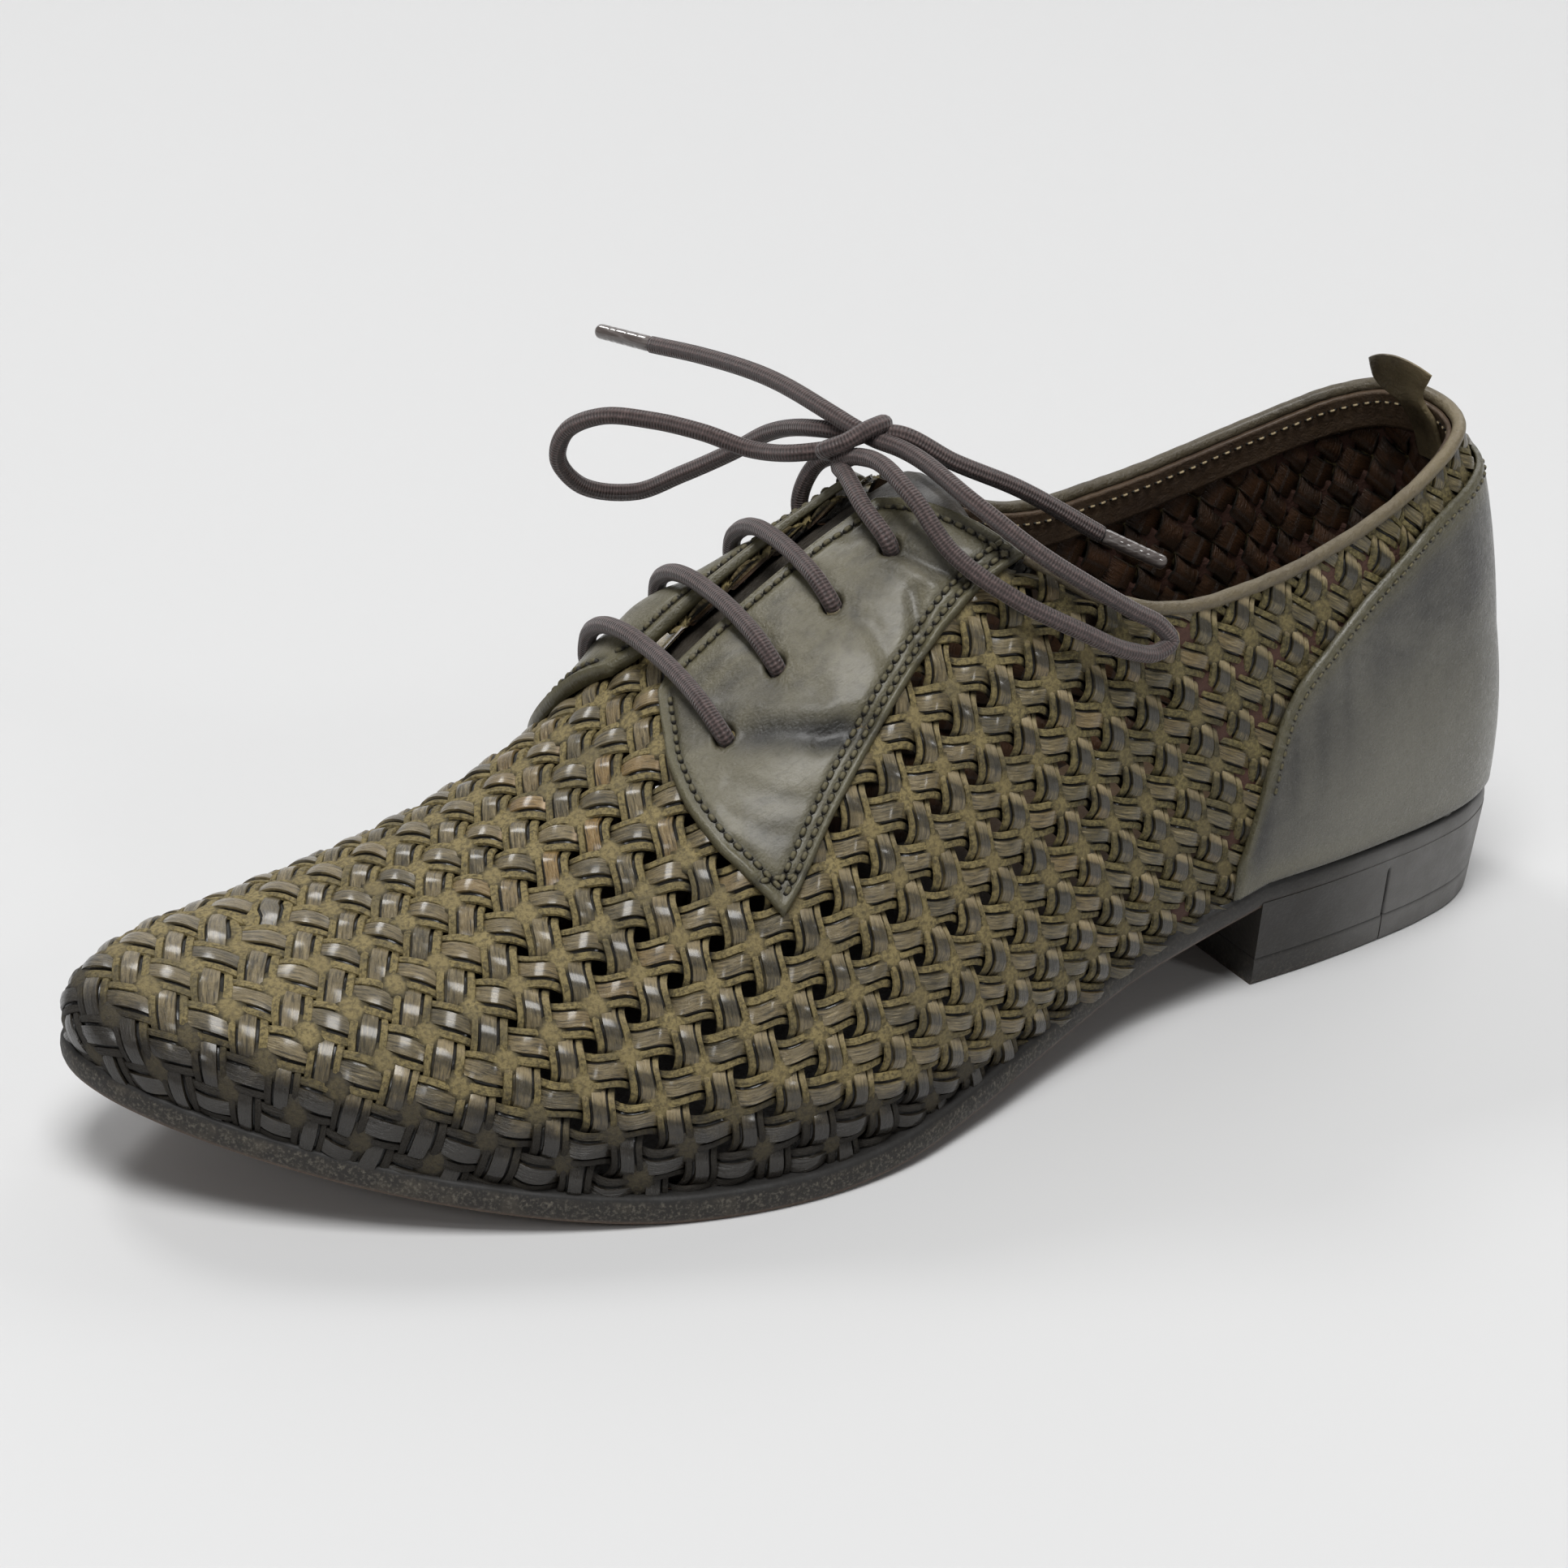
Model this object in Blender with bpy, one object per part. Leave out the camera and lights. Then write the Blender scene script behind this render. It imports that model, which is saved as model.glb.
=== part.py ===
"""Left braided leather shoe: woven upper on a leather sole with a low stacked heel.

Working units are millimetres in the shoe's own frame: x from the back of the heel to the toe,
y positive towards the outer (lateral) side, z up from the floor. Meshes are written in metres.
"""
import bpy
import bmesh
import numpy as np

MM = 0.001
LATERAL, MEDIAL = 1, -1
CLEAR = 0.3            # gap kept between pieces that touch

# Sole
SOLE_THICK = 5.5       # outsole, at its edge
HEEL_HEIGHT = 17.5     # floor to the underside of the sole at the breast
BREAST_X = 70.0        # front face of the heel
TREAD_X = (183.0, 205.0)   # flat stretch under the ball
TOE_SPRING = 20.5      # rise of the sole's underside at the toe
SOLE_LENGTH = 294.0
LIFT_THICK = 6.0       # wearing layer under the heel
LIFT_SPLIT_X = 37.5    # joint between the two pieces of that layer
HEEL_TAPER = 1.6       # how far the heel draws in from the sole to the floor
HEEL_INSET = 0.9       # heel inside the sole's edge, at its top
EDGE_ROUND = 0.8       # rounding of the sole's edges

# Outline of the sole seen from above, from heel to toe: one row per section
SOLE_PLAN = (          # x, lateral y, medial y
    (0, 0, 0),
    (1.2, 9, -9),
    (5, 17.5, -17),
    (13, 24, -23.5),
    (25, 28.5, -28),
    (40, 31.5, -31),
    (55, 33.5, -32),
    (70, 34.5, -32),
    (85, 35.5, -31),
    (100, 37.5, -30),
    (120, 44, -30.5),
    (145, 54, -34),
    (165, 60.5, -39),
    (180, 62, -43),
    (195, 60.8, -45.5),
    (210, 57, -46),
    (225, 51.5, -44.8),
    (240, 44.5, -42),
    (255, 36, -38),
    (268, 27, -33.5),
    (279, 17.5, -29),
    (287, 8.5, -24),
    (292, 0, -18.5),
    (294, -9, -9),
)

# Last: cross sections that the outside of the upper follows
HEEL_AXIS_X = 38.0     # sections turn about this upright line round the heel
TOE_AXIS_X = 258.0     # and about this one round the toe
LAST = (               # x, crown z, crown y, fullness lateral, medial, up, inset lateral, medial, belly
    (38, 124, 0, 2.5, 2.5, 2.4, 1.7, 1.7, 1.3),
    (80, 120, -2, 2.6, 2.6, 2.4, 1.2, 1.2, 1.4),
    (110, 112, -5, 2.5, 2.6, 2.2, 0.5, 0.0, 1.6),
    (130, 102.5, -6.5, 2.4, 2.7, 2.1, 1.5, 0.5, 1.5),
    (150, 92.5, -7, 2.3, 2.8, 2.0, 2.5, 1.5, 1.5),
    (165, 83.5, -7, 2.3, 2.8, 2.0, 3.0, 2.0, 1.5),
    (180, 73.5, -6.5, 2.3, 2.6, 2.0, 3.0, 2.5, 1.5),
    (195, 64, -6, 2.3, 2.4, 2.0, 3.0, 2.5, 1.5),
    (215, 54, -6.5, 2.3, 2.3, 2.0, 2.5, 2.5, 1.5),
    (240, 46.5, -8, 2.4, 2.4, 2.05, 2.0, 2.0, 1.7),
    (258, 43, -9, 2.5, 2.5, 2.1, 1.0, 1.0, 1.8),
)
TIP_FULLNESS = (3.4, 2.8)  # the blunt end of the toe: out, up
TOE_SLOPE = -0.10          # the crown keeps falling over the toe
HEEL_BELLY = 0.4           # belly at the very back of the heel
BELLY_HEIGHT = 34.0        # height over which the wall bellies out
SKIRT = 14.0               # the surface is carried this far below the sole line
HEEL_WRAP = 34.0           # radius that turns heel angle into chart length

# Woven wall
HALF_ALONG = 5.6       # half diagonal of a woven diamond along the shoe
HALF_ACROSS = 7.3      # half diagonal round the foot
WEAVE_START = (204.15, 11.4)   # chart position of the crossing that the weave is set out from
WEAVE_BOW = 0.0024     # the rows bow towards the toe over the crown
WEAVE_TILT = 0.07      # and sink a little towards the toe
WEAVE_TILT_START = 20.0    # girth over which that begins, on either side of the crown
WEAVE_CREST = 3.0      # girth at which the bow is furthest forward
WALL_INNER = -1.4      # lifts from the last surface
WALL_LOW = 0.2         # wall between the strips
WALL_HIGH = 1.0        # top of a raised strip
TOE_FADE = (232.0, 262.0)  # chart length over which the strips flatten towards the toe
TOE_WEAR = 0.64        # height that they lose there
RIDGE = 0.62           # share of a diamond that its raised strip takes
GAP_SHARE = 0.19       # share of a diamond's side that an open gap takes
GAP_SPAN = (90.0, 232.0)   # chart length over which the weave stands open
GAP_MARGIN = (12.0, 9.0, 6.0)  # closed borders: above the sole, below the collar, beside the facings
HIDDEN_MARGIN = 7.0    # strips are left flat this far inside the edge of a piece that covers them
FIELD_MARGIN = 7.0     # the weave is carried this far past the edges that trim it
WEAVE_REAR_X = 42.0    # behind this the wall is smooth, under the counter
HEEL_SHELL = (0.5, -1.1)   # lifts of the smooth part's two faces
HEEL_SHELL_X = 47.0

# Collar, throat and overlays
COLLAR = (             # x, z of the wall's top edge seen from the side
    (-30, 98), (8, 98), (20, 95), (31, 91), (40, 88), (52, 84.8), (63, 82.4), (74, 81),
    (84, 80.3), (94, 81.5), (101, 84), (108, 87), (114, 91), (120, 95), (128, 99), (137, 101.5),
)
THROAT = (             # x, half width of the slit
    (122, 3.2), (150, 3.8), (170, 4.0), (178, 3.4), (182, 1.6),
)
FACING_LIFT = (1.5, 2.6)
FACING = (             # x, inner and outer edge in girth from the crown
    (119, 29.0, 32.0),
    (127, 14.5, 32.5),
    (135, 5.0, 34.8),
    (146, 5.0, 39.6),
    (158, 5.0, 46.0),
    (170, 5.0, 53.0),
    (178, 5.0, 58.0),
    (182.5, 7.0, 60.0),
    (184.5, 12.0, 52.0),
)
FACING_MEDIAL_SHARE = 0.86     # the inner side's girth is shorter
EYELETS = ((177.8, 24.5), (165.1, 21.0), (152.3, 18.0), (138.9, 15.5))   # x, girth from the crown
EYELET_R = 1.9
COUNTER_LIFT = (1.8, 2.9)
COUNTER = (            # chart length along the heel, top edge z
    (-15.4, 92), (0, 91), (12, 89), (26, 85.5), (38, 80.5), (46, 76), (56, 68.5), (64, 61.5),
    (70, 51), (74, 40), (77.5, 29),
)
TONGUE_LIFT = (-2.9, -4.4)
TONGUE = (             # x, half width in girth
    (124, 19), (135, 22), (150, 24), (165, 24), (180, 22), (192, 16),
)
BINDING_R = 2.0        # rolled edge round the collar
BINDING_LIFT = -0.4    # its middle, from the last surface
BINDING_FRONT_X = 117.0
INSOLE_THICK = 2.0
INSOLE_INSET = 5.6     # inside the sole's edge, clear of the wall

TAB_PATH = (           # x, z and half width of the pull tab's middle line
    (9.7, 86, 4.2), (11.4, 92, 4.2), (13.9, 96.5, 4.2), (15.5, 100.3, 4.2), (16.2, 102.8, 4.6),
    (17.7, 105.8, 6.4), (20.4, 109.2, 8.2),
)
TAB_THICK = 1.6

# Lace
LACE_R = 1.65
LACE_REST = FACING_LIFT[1] + CLEAR + LACE_R    # lift of a lace that lies on the facings
BAR_RISE = 0.9         # how much higher a bar's middle stands than its ends
KNOT_R = 5.0
CORD_STEP = 8.0        # distance between the points of a cord
KNOT = ((139.9, -10.6, 108.2), (136.0, -8.5, 110.5), (132.1, -6.4, 112.8))
LOOP_FRONT = (
    (142.5, -14.9, 107.3), (148.5, -25, 105.3), (154.7, -33, 107.1), (160.9, -41, 107.8), (168, -48, 107.5),
    (172.2, -54, 103.2), (172.4, -57, 96.5), (168, -57, 90.6), (158.2, -53, 88.6), (151.6, -47, 93),
    (145, -39, 99.2), (141.5, -31, 105.3), (137.9, -16.3, 110.4),
)
LOOP_REAR = (
    (137.3, -2.6, 109.5), (136.2, 11.4, 107), (133.1, 20.4, 98.8), (125.6, 29.8, 91.9), (114.4, 34.7, 85.1),
    (102.5, 36.2, 79.4), (96.3, 35.9, 78.8), (95.6, 35.3, 81.2), (108.8, 32.4, 90.7), (119.3, 27.8, 98.6),
    (127.2, 18.9, 106.3), (131.2, -1.5, 110.7),
)
END_FRONT = ((137.2, -14.1, 113.6), (141.1, -32, 115.7), (145.9, -49, 115.2), (150.2, -61, 114.2))
END_REAR = ((130.2, -5.1, 112.1), (120.8, 1, 106.8), (109, 4, 100.6), (93.4, 9, 90))
AGLET_FRONT = ((150.3, -61.3, 114.2), (154.8, -74, 113.5))
AGLET_REAR = ((93.2, 9.1, 89.8), (81.6, 13, 83.2))
RISER_LATERAL = ((140.3, -5.3, 106.1), (141.5, 3.5, 103))
RISER_MEDIAL = ((136, -14.7, 105.6), (137.5, -19.5, 102.8))


def table(rows, column, x):
    """Smooth monotone curve through one column of a table, read at x."""
    rows = np.asarray(rows, float)
    xs, ys = rows[:, 0], rows[:, column]
    x = np.clip(np.asarray(x, float), xs[0], xs[-1])
    step = np.diff(xs)
    slope = np.diff(ys) / step
    tangent = np.zeros_like(ys)
    tangent[0], tangent[-1] = slope[0], slope[-1]
    for k in range(1, len(xs) - 1):
        if slope[k - 1] * slope[k] > 0:
            before, after = 2 * step[k] + step[k - 1], step[k] + 2 * step[k - 1]
            tangent[k] = (before + after) / (before / slope[k - 1] + after / slope[k])
    k = np.clip(np.searchsorted(xs, x, side="right") - 1, 0, len(step) - 1)
    t = (x - xs[k]) / step[k]
    return ((2 * t**3 - 3 * t**2 + 1) * ys[k] + (t**3 - 2 * t**2 + t) * step[k] * tangent[k]
            + (3 * t**2 - 2 * t**3) * ys[k + 1] + (t**3 - t**2) * step[k] * tangent[k + 1])


def smooth_path(points, per_span=6, closed=False):
    """Smooth curve through 2-D or 3-D points."""
    p = np.asarray(points, float)
    n = len(p)
    spans = n if closed else n - 1
    out = []
    for k in range(spans):
        p1, p2 = p[k], p[(k + 1) % n]
        p0 = p[k - 1] if closed or k else p1
        p3 = p[(k + 2) % n] if closed or k + 2 < n else p2
        d0, d1, d2 = (max(np.linalg.norm(v), 1e-6) for v in (p1 - p0, p2 - p1, p3 - p2))
        t1 = ((p1 - p0) / d0 * d1 + (p2 - p1) / d1 * d0) / (d0 + d1) if d0 > 1e-5 else (p2 - p1) / d1
        t2 = ((p2 - p1) / d1 * d2 + (p3 - p2) / d2 * d1) / (d1 + d2) if d2 > 1e-5 else (p2 - p1) / d1
        for t in np.arange(per_span) / per_span:
            out.append((2 * t**3 - 3 * t**2 + 1) * p1 + (t**3 - 2 * t**2 + t) * d1 * t1
                       + (3 * t**2 - 2 * t**3) * p2 + (t**3 - t**2) * d1 * t2)
    if not closed:
        out.append(p[-1])
    return np.array(out)


def sole_underside(x):
    """Height of the sole's underside: heel, arch, flat tread and toe spring."""
    x = np.asarray(x, float)
    arch = np.clip((TREAD_X[0] - x) / (TREAD_X[0] - BREAST_X), 0, 1) ** 1.5
    spring = np.clip((x - TREAD_X[1]) / (SOLE_LENGTH - TREAD_X[1]), 0, 2) ** 1.6
    return HEEL_HEIGHT * arch + TOE_SPRING * spring


def sole_top(x):
    return sole_underside(x) + SOLE_THICK


def sole_loop():
    """The sole's edge as a dense closed loop, from the heel round the lateral side."""
    rows = np.asarray(SOLE_PLAN, float)
    lateral, medial = rows[:, [0, 1]], rows[::-1][1:-1][:, [0, 2]]
    return smooth_path(np.vstack([lateral, medial]), per_span=12, closed=True)


EDGE = sole_loop()


def edge_distance(origin, direction):
    """Distance from a point inside the sole's outline to its edge, along a plan direction."""
    ahead = np.roll(EDGE, -1, axis=0) - EDGE
    away = EDGE - origin
    den = direction[0] * ahead[:, 1] - direction[1] * ahead[:, 0]
    den = np.where(np.abs(den) < 1e-9, 1e-9, den)
    reach = (away[:, 0] * ahead[:, 1] - away[:, 1] * ahead[:, 0]) / den
    along = (away[:, 0] * direction[1] - away[:, 1] * direction[0]) / den
    return reach[(along >= 0) & (along < 1) & (reach > 0)].max()


def last_profile(side, axis_x, direction, angle=None):
    """Points of the last from its crown down to the sole line and a little below it."""
    fullness = table(LAST, 3 if side == LATERAL else 4, axis_x)
    fullness_up = table(LAST, 5, axis_x)
    belly = table(LAST, 8, axis_x)
    crown = float(table(LAST, 1, axis_x))
    slope = 0.0
    if angle is not None and axis_x >= TOE_AXIS_X:
        tip = np.cos(angle) ** 2
        fullness = fullness * (1 - tip) + TIP_FULLNESS[0] * tip
        fullness_up = fullness_up * (1 - tip) + TIP_FULLNESS[1] * tip
        slope = TOE_SLOPE
    if angle is not None and axis_x <= HEEL_AXIS_X:
        belly = HEEL_BELLY + (belly - HEEL_BELLY) * np.sin(angle)
    origin = np.array([axis_x, float(table(LAST, 2, axis_x))])
    reach = edge_distance(origin, direction) - float(table(LAST, 6 if side == LATERAL else 7, axis_x))
    turn = np.linspace(np.pi / 2, 0, 120)
    out = reach * np.cos(turn) ** (2 / fullness)
    foot = float(sole_top(origin[0] + direction[0] * reach))
    z = foot + (crown + slope * direction[0] * out - foot) * np.sin(turn) ** (2 / fullness_up)
    out = out + belly * np.sin(np.pi * np.clip((z - foot) / BELLY_HEIGHT, 0, 1))
    out = np.append(out, [out[-1]] * 4)
    z = np.append(z, foot - SKIRT * np.arange(1, 5) / 4)
    return np.stack([origin[0] + direction[0] * out, origin[1] + direction[1] * out, z], -1)


class Last:
    """The last as a chart: length along the shoe, and girth from the crown (lateral positive)."""
    HEEL_STEPS, BODY_STEPS, TOE_STEPS, GIRTH_STEPS = 24, 110, 24, 60

    def __init__(self):
        self.heel_start = HEEL_AXIS_X - HEEL_WRAP * np.pi / 2
        self.grid, self.girth = {}, {}
        for side in (LATERAL, MEDIAL):
            rows = []
            for angle in np.linspace(0, np.pi / 2, self.HEEL_STEPS, endpoint=False):
                rows.append(last_profile(side, HEEL_AXIS_X, (-np.cos(angle), side * np.sin(angle)), angle))
            for x in np.linspace(HEEL_AXIS_X, TOE_AXIS_X, self.BODY_STEPS, endpoint=False):
                rows.append(last_profile(side, x, (0.0, float(side))))
            for angle in np.linspace(np.pi / 2, 0, self.TOE_STEPS + 1):
                rows.append(last_profile(side, TOE_AXIS_X, (np.cos(angle), side * np.sin(angle)), angle))
            even = []
            lengths = []
            for row in rows:
                arc = np.concatenate([[0], np.cumsum(np.linalg.norm(np.diff(row, axis=0), axis=1))])
                at = np.linspace(0, arc[-1], self.GIRTH_STEPS + 1)
                even.append(np.stack([np.interp(at, arc, row[:, c]) for c in range(3)], -1))
                lengths.append(arc[-1])
            self.grid[side], self.girth[side] = np.array(even), np.array(lengths)

    def station(self, a, b):
        """Row of the grid and girth for chart points."""
        past = np.maximum(a - TOE_AXIS_X, 0)
        girth = np.where(a > TOE_AXIS_X, np.hypot(past, b), np.abs(b))
        angle = np.arctan2(np.abs(b), past)
        toe = self.HEEL_STEPS + self.BODY_STEPS + (1 - angle / (np.pi / 2)) * self.TOE_STEPS
        body = self.HEEL_STEPS + (a - HEEL_AXIS_X) / (TOE_AXIS_X - HEEL_AXIS_X) * self.BODY_STEPS
        heel = self.HEEL_STEPS * (a - self.heel_start) / (HEEL_AXIS_X - self.heel_start)
        row = np.where(a > TOE_AXIS_X, toe, np.where(a >= HEEL_AXIS_X, body, heel))
        last_row = self.HEEL_STEPS + self.BODY_STEPS + self.TOE_STEPS
        return np.clip(row, 0, last_row - 1e-6), girth

    def foot_girth(self, a, b):
        """Girth at which the sole line is met, for chart points."""
        row, _ = self.station(a, b)
        steps = np.arange(len(self.girth[LATERAL]))
        full = np.where(b >= 0, np.interp(row, steps, self.girth[LATERAL]),
                        np.interp(row, steps, self.girth[MEDIAL]))
        return full - SKIRT

    def point(self, a, b):
        a, b = np.broadcast_arrays(np.asarray(a, float), np.asarray(b, float))
        row, girth = self.station(a, b)
        out = np.zeros(a.shape + (3,))
        for side in (LATERAL, MEDIAL):
            mine = b >= 0 if side == LATERAL else b < 0
            full = np.interp(row, np.arange(len(self.girth[side])), self.girth[side])
            col = np.clip(girth / full * self.GIRTH_STEPS, 0, self.GIRTH_STEPS - 1e-6)
            i, j = row.astype(int), col.astype(int)
            u, v = (row - i)[..., None], (col - j)[..., None]
            g = self.grid[side]
            value = ((g[i, j] * (1 - u) + g[i + 1, j] * u) * (1 - v)
                     + (g[i, j + 1] * (1 - u) + g[i + 1, j + 1] * u) * v)
            out[mine] = value[mine]
        return out

    def normal(self, a, b, step=0.8):
        a, b = np.broadcast_arrays(np.asarray(a, float), np.asarray(b, float))
        low = np.maximum(a - step, self.heel_start)
        along = self.point(a + step, b) - self.point(low, b)
        side = np.where(b >= 0, 1.0, -1.0)
        across = (self.point(a, b + side * step) - self.point(a, side * np.maximum(np.abs(b) - step, 0)))
        across = across * side[..., None]
        n = np.cross(along, across)
        return n / np.maximum(np.linalg.norm(n, axis=-1, keepdims=True), 1e-9)

    def lifted(self, a, b, lift):
        lift = np.asarray(lift, float)
        return self.point(a, b) + self.normal(a, b) * lift[..., None]

    def girth_at_height(self, a, side, z):
        """Girth at which the last passes a height, going down from the crown."""
        b = np.linspace(0, float(self.foot_girth(np.array(a), np.array(float(side)))), 400)
        heights = self.point(np.full_like(b, a), side * b)[:, 2]
        below = np.nonzero(heights <= z)[0]
        return b[below[0]] if len(below) else b[-1]


last = Last()


def material(name, colour, roughness, metallic=0.0):
    found = bpy.data.materials.get(name)
    if found:
        return found
    new = bpy.data.materials.new(name)
    new.use_nodes = True
    shader = new.node_tree.nodes["Principled BSDF"]
    shader.inputs["Base Color"].default_value = (*colour, 1)
    shader.inputs["Roughness"].default_value = roughness
    shader.inputs["Metallic"].default_value = metallic
    new.diffuse_color = (*colour, 1)
    return new


def finishes():
    return {
        "woven_leather": material("woven_leather", (0.10, 0.085, 0.05), 0.45),
        "smooth_leather": material("smooth_leather", (0.19, 0.17, 0.12), 0.35),
        "counter_leather": material("counter_leather", (0.12, 0.115, 0.095), 0.35),
        "binding_leather": material("binding_leather", (0.20, 0.16, 0.10), 0.45),
        "lining_leather": material("lining_leather", (0.14, 0.08, 0.045), 0.7),
        "sole_leather": material("sole_leather", (0.035, 0.028, 0.022), 0.55),
        "lace_cord": material("lace_cord", (0.055, 0.04, 0.038), 0.6),
        "aglet": material("aglet", (0.25, 0.22, 0.21), 0.2),
    }


def add_object(name, vertices, faces, finish, smooth_angle=None):
    """One closed mesh object from points in millimetres, triangulated, faces out."""
    mesh = bpy.data.meshes.new(name)
    mesh.from_pydata([tuple(v) for v in np.asarray(vertices, float) * MM], [], [list(f) for f in faces])
    work = bmesh.new()
    work.from_mesh(mesh)
    bmesh.ops.remove_doubles(work, verts=work.verts, dist=1e-7)
    bmesh.ops.triangulate(work, faces=work.faces)
    bmesh.ops.recalc_face_normals(work, faces=work.faces)
    if work.calc_volume(signed=True) < 0:
        bmesh.ops.reverse_faces(work, faces=work.faces)
    work.to_mesh(mesh)
    work.free()
    if finish:
        mesh.materials.append(FINISH[finish])
    if smooth_angle:
        mesh.shade_smooth()
        mesh.set_sharp_from_angle(angle=smooth_angle)
    thing = bpy.data.objects.new(name, mesh)
    bpy.context.collection.objects.link(thing)
    return thing


def cutter(name, vertices, faces):
    thing = add_object(name, vertices, faces, None)
    thing.hide_render = True
    thing.display_type = "WIRE"
    return thing


def cut(thing, tool, operation="DIFFERENCE"):
    modifier = thing.modifiers.new(tool.name, "BOOLEAN")
    modifier.operation = operation
    modifier.solver = "EXACT"
    modifier.object = tool


def sheet_solid(outer, inner):
    """Closed solid between two grids of points of the same shape."""
    rows, cols = outer.shape[:2]
    vertices = np.concatenate([outer.reshape(-1, 3), inner.reshape(-1, 3)])
    half = rows * cols
    faces = []
    for i in range(rows - 1):
        for j in range(cols - 1):
            quad = [i * cols + j, (i + 1) * cols + j, (i + 1) * cols + j + 1, i * cols + j + 1]
            faces.append(quad)
            faces.append([half + k for k in reversed(quad)])
    rim = ([(i, 0) for i in range(rows)] + [(rows - 1, j) for j in range(1, cols)]
           + [(i, cols - 1) for i in range(rows - 2, -1, -1)] + [(0, j) for j in range(cols - 2, 0, -1)])
    ring = [i * cols + j for i, j in rim]
    for k, start in enumerate(ring):
        end = ring[(k + 1) % len(ring)]
        faces.append([end, start, half + start, half + end])
    return vertices, faces


def prism(outline, low, high, axis):
    """Straight solid on a plan outline (axis z) or a side outline (axis y)."""
    n = len(outline)
    points = []
    for level in (low, high):
        for u, v in outline:
            points.append((u, v, level) if axis == "z" else (u, level, v))
    faces = [list(range(n)), list(range(2 * n - 1, n - 1, -1))]
    for k in range(n):
        faces.append([k, (k + 1) % n, n + (k + 1) % n, n + k])
    return points, faces


def plan_edges(x, inset):
    """Lateral and medial y of the sole's outline drawn in by an inset, and the outline's two ends in x."""
    ahead = np.roll(EDGE, -1, axis=0) - np.roll(EDGE, 1, axis=0)
    inward = np.stack([ahead[:, 1], -ahead[:, 0]], -1)
    loop = EDGE + inset * inward / np.linalg.norm(inward, axis=1, keepdims=True)
    toe = int(np.argmax(loop[:, 0]))
    lateral, medial = loop[:toe + 1], np.vstack([loop[toe:], loop[:1]])
    lateral, medial = lateral[np.argsort(lateral[:, 0])], medial[np.argsort(medial[:, 0])]
    return (np.interp(x, lateral[:, 0], lateral[:, 1]), np.interp(x, medial[:, 0], medial[:, 1]),
            loop[:, 0].min(), loop[:, 0].max())


def sole_layer(name, finish, levels, sections, span=(-1000.0, 1000.0)):
    """Layer of the sole through levels of (inset, height function of x), bottom to top."""
    spread = (1 - np.cos(np.linspace(0, np.pi, sections))) / 2
    points = []
    for inset, height in levels:
        _, _, back, front = plan_edges(0.0, inset)
        back, front = max(back + 0.03, span[0]), min(front - 0.03, span[1])
        x = back + (front - back) * spread
        for corner in (BREAST_X, *TREAD_X):
            if back + 1 < corner < front - 1:
                x[np.argmin(np.abs(x - corner))] = corner
        lateral, medial, _, _ = plan_edges(x, inset)
        z = height(x) + 0.0 * x
        points += [np.stack([x, lateral, z], -1), np.stack([x, medial, z], -1)[::-1]]
    points = np.concatenate(points)
    ring = 2 * sections
    faces = []
    for level in range(len(levels) - 1):
        for k in range(ring):
            start, end = level * ring + k, level * ring + (k + 1) % ring
            faces.append([start, end, end + ring, start + ring])
    top = (len(levels) - 1) * ring
    for k in range(sections - 1):
        quad = [k, k + 1, ring - 2 - k, ring - 1 - k]
        faces.append(quad)
        faces.append([top + q for q in reversed(quad)])
    return add_object(name, points, faces, finish, 0.6)


def make_outsole():
    levels = (
        (EDGE_ROUND, sole_underside),
        (0.0, lambda x: sole_underside(x) + EDGE_ROUND),
        (0.0, lambda x: sole_top(x) - EDGE_ROUND),
        (EDGE_ROUND / 2, sole_top),
    )
    return sole_layer("outsole", "sole_leather", levels, 42)


def heel_inset(z):
    return HEEL_INSET + HEEL_TAPER * (1 - z / HEEL_HEIGHT)


def make_heel():
    low, high = LIFT_THICK + CLEAR, HEEL_HEIGHT - CLEAR
    block = [(heel_inset(z), lambda x, z=z: z) for z in (low, high)]
    sole_layer("heel_stack", "sole_leather", block, 24, (-1000.0, BREAST_X))
    wear = [(heel_inset(z), lambda x, z=z: z) for z in (0.0, LIFT_THICK)]
    sole_layer("top_lift_rear", "sole_leather", wear, 18, (-1000.0, LIFT_SPLIT_X - CLEAR / 2))
    sole_layer("top_lift_front", "sole_leather", wear, 8, (LIFT_SPLIT_X + CLEAR / 2, BREAST_X))


def make_insole():
    levels = (
        (INSOLE_INSET, lambda x: sole_top(x) + CLEAR),
        (INSOLE_INSET, lambda x: sole_top(x) + CLEAR + INSOLE_THICK),
    )
    return sole_layer("insole", "lining_leather", levels, 26)


def collar_height(x):
    return table(COLLAR, 1, x)


def weave_point(m, n):
    """Chart place of a lattice point: m steps along the shoe, n steps round the foot."""
    b = WEAVE_START[1] + n * HALF_ACROSS
    a = WEAVE_START[0] + m * HALF_ALONG - WEAVE_BOW * (b - WEAVE_CREST) ** 2
    return a, b + WEAVE_TILT * (a - WEAVE_START[0]) * np.tanh(b / WEAVE_TILT_START)


def in_woven_field(m, n):
    a, b = weave_point(m, n)
    a_array, b_array = np.array(a), np.array(b)
    if a < WEAVE_REAR_X:
        return False
    _, girth = last.station(a_array, b_array)
    if girth > last.foot_girth(a_array, b_array) + FIELD_MARGIN:
        return False
    x, _, z = last.point(a_array, b_array)
    return not (x < COLLAR[-1][0] and z > collar_height(x) + FIELD_MARGIN)


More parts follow.
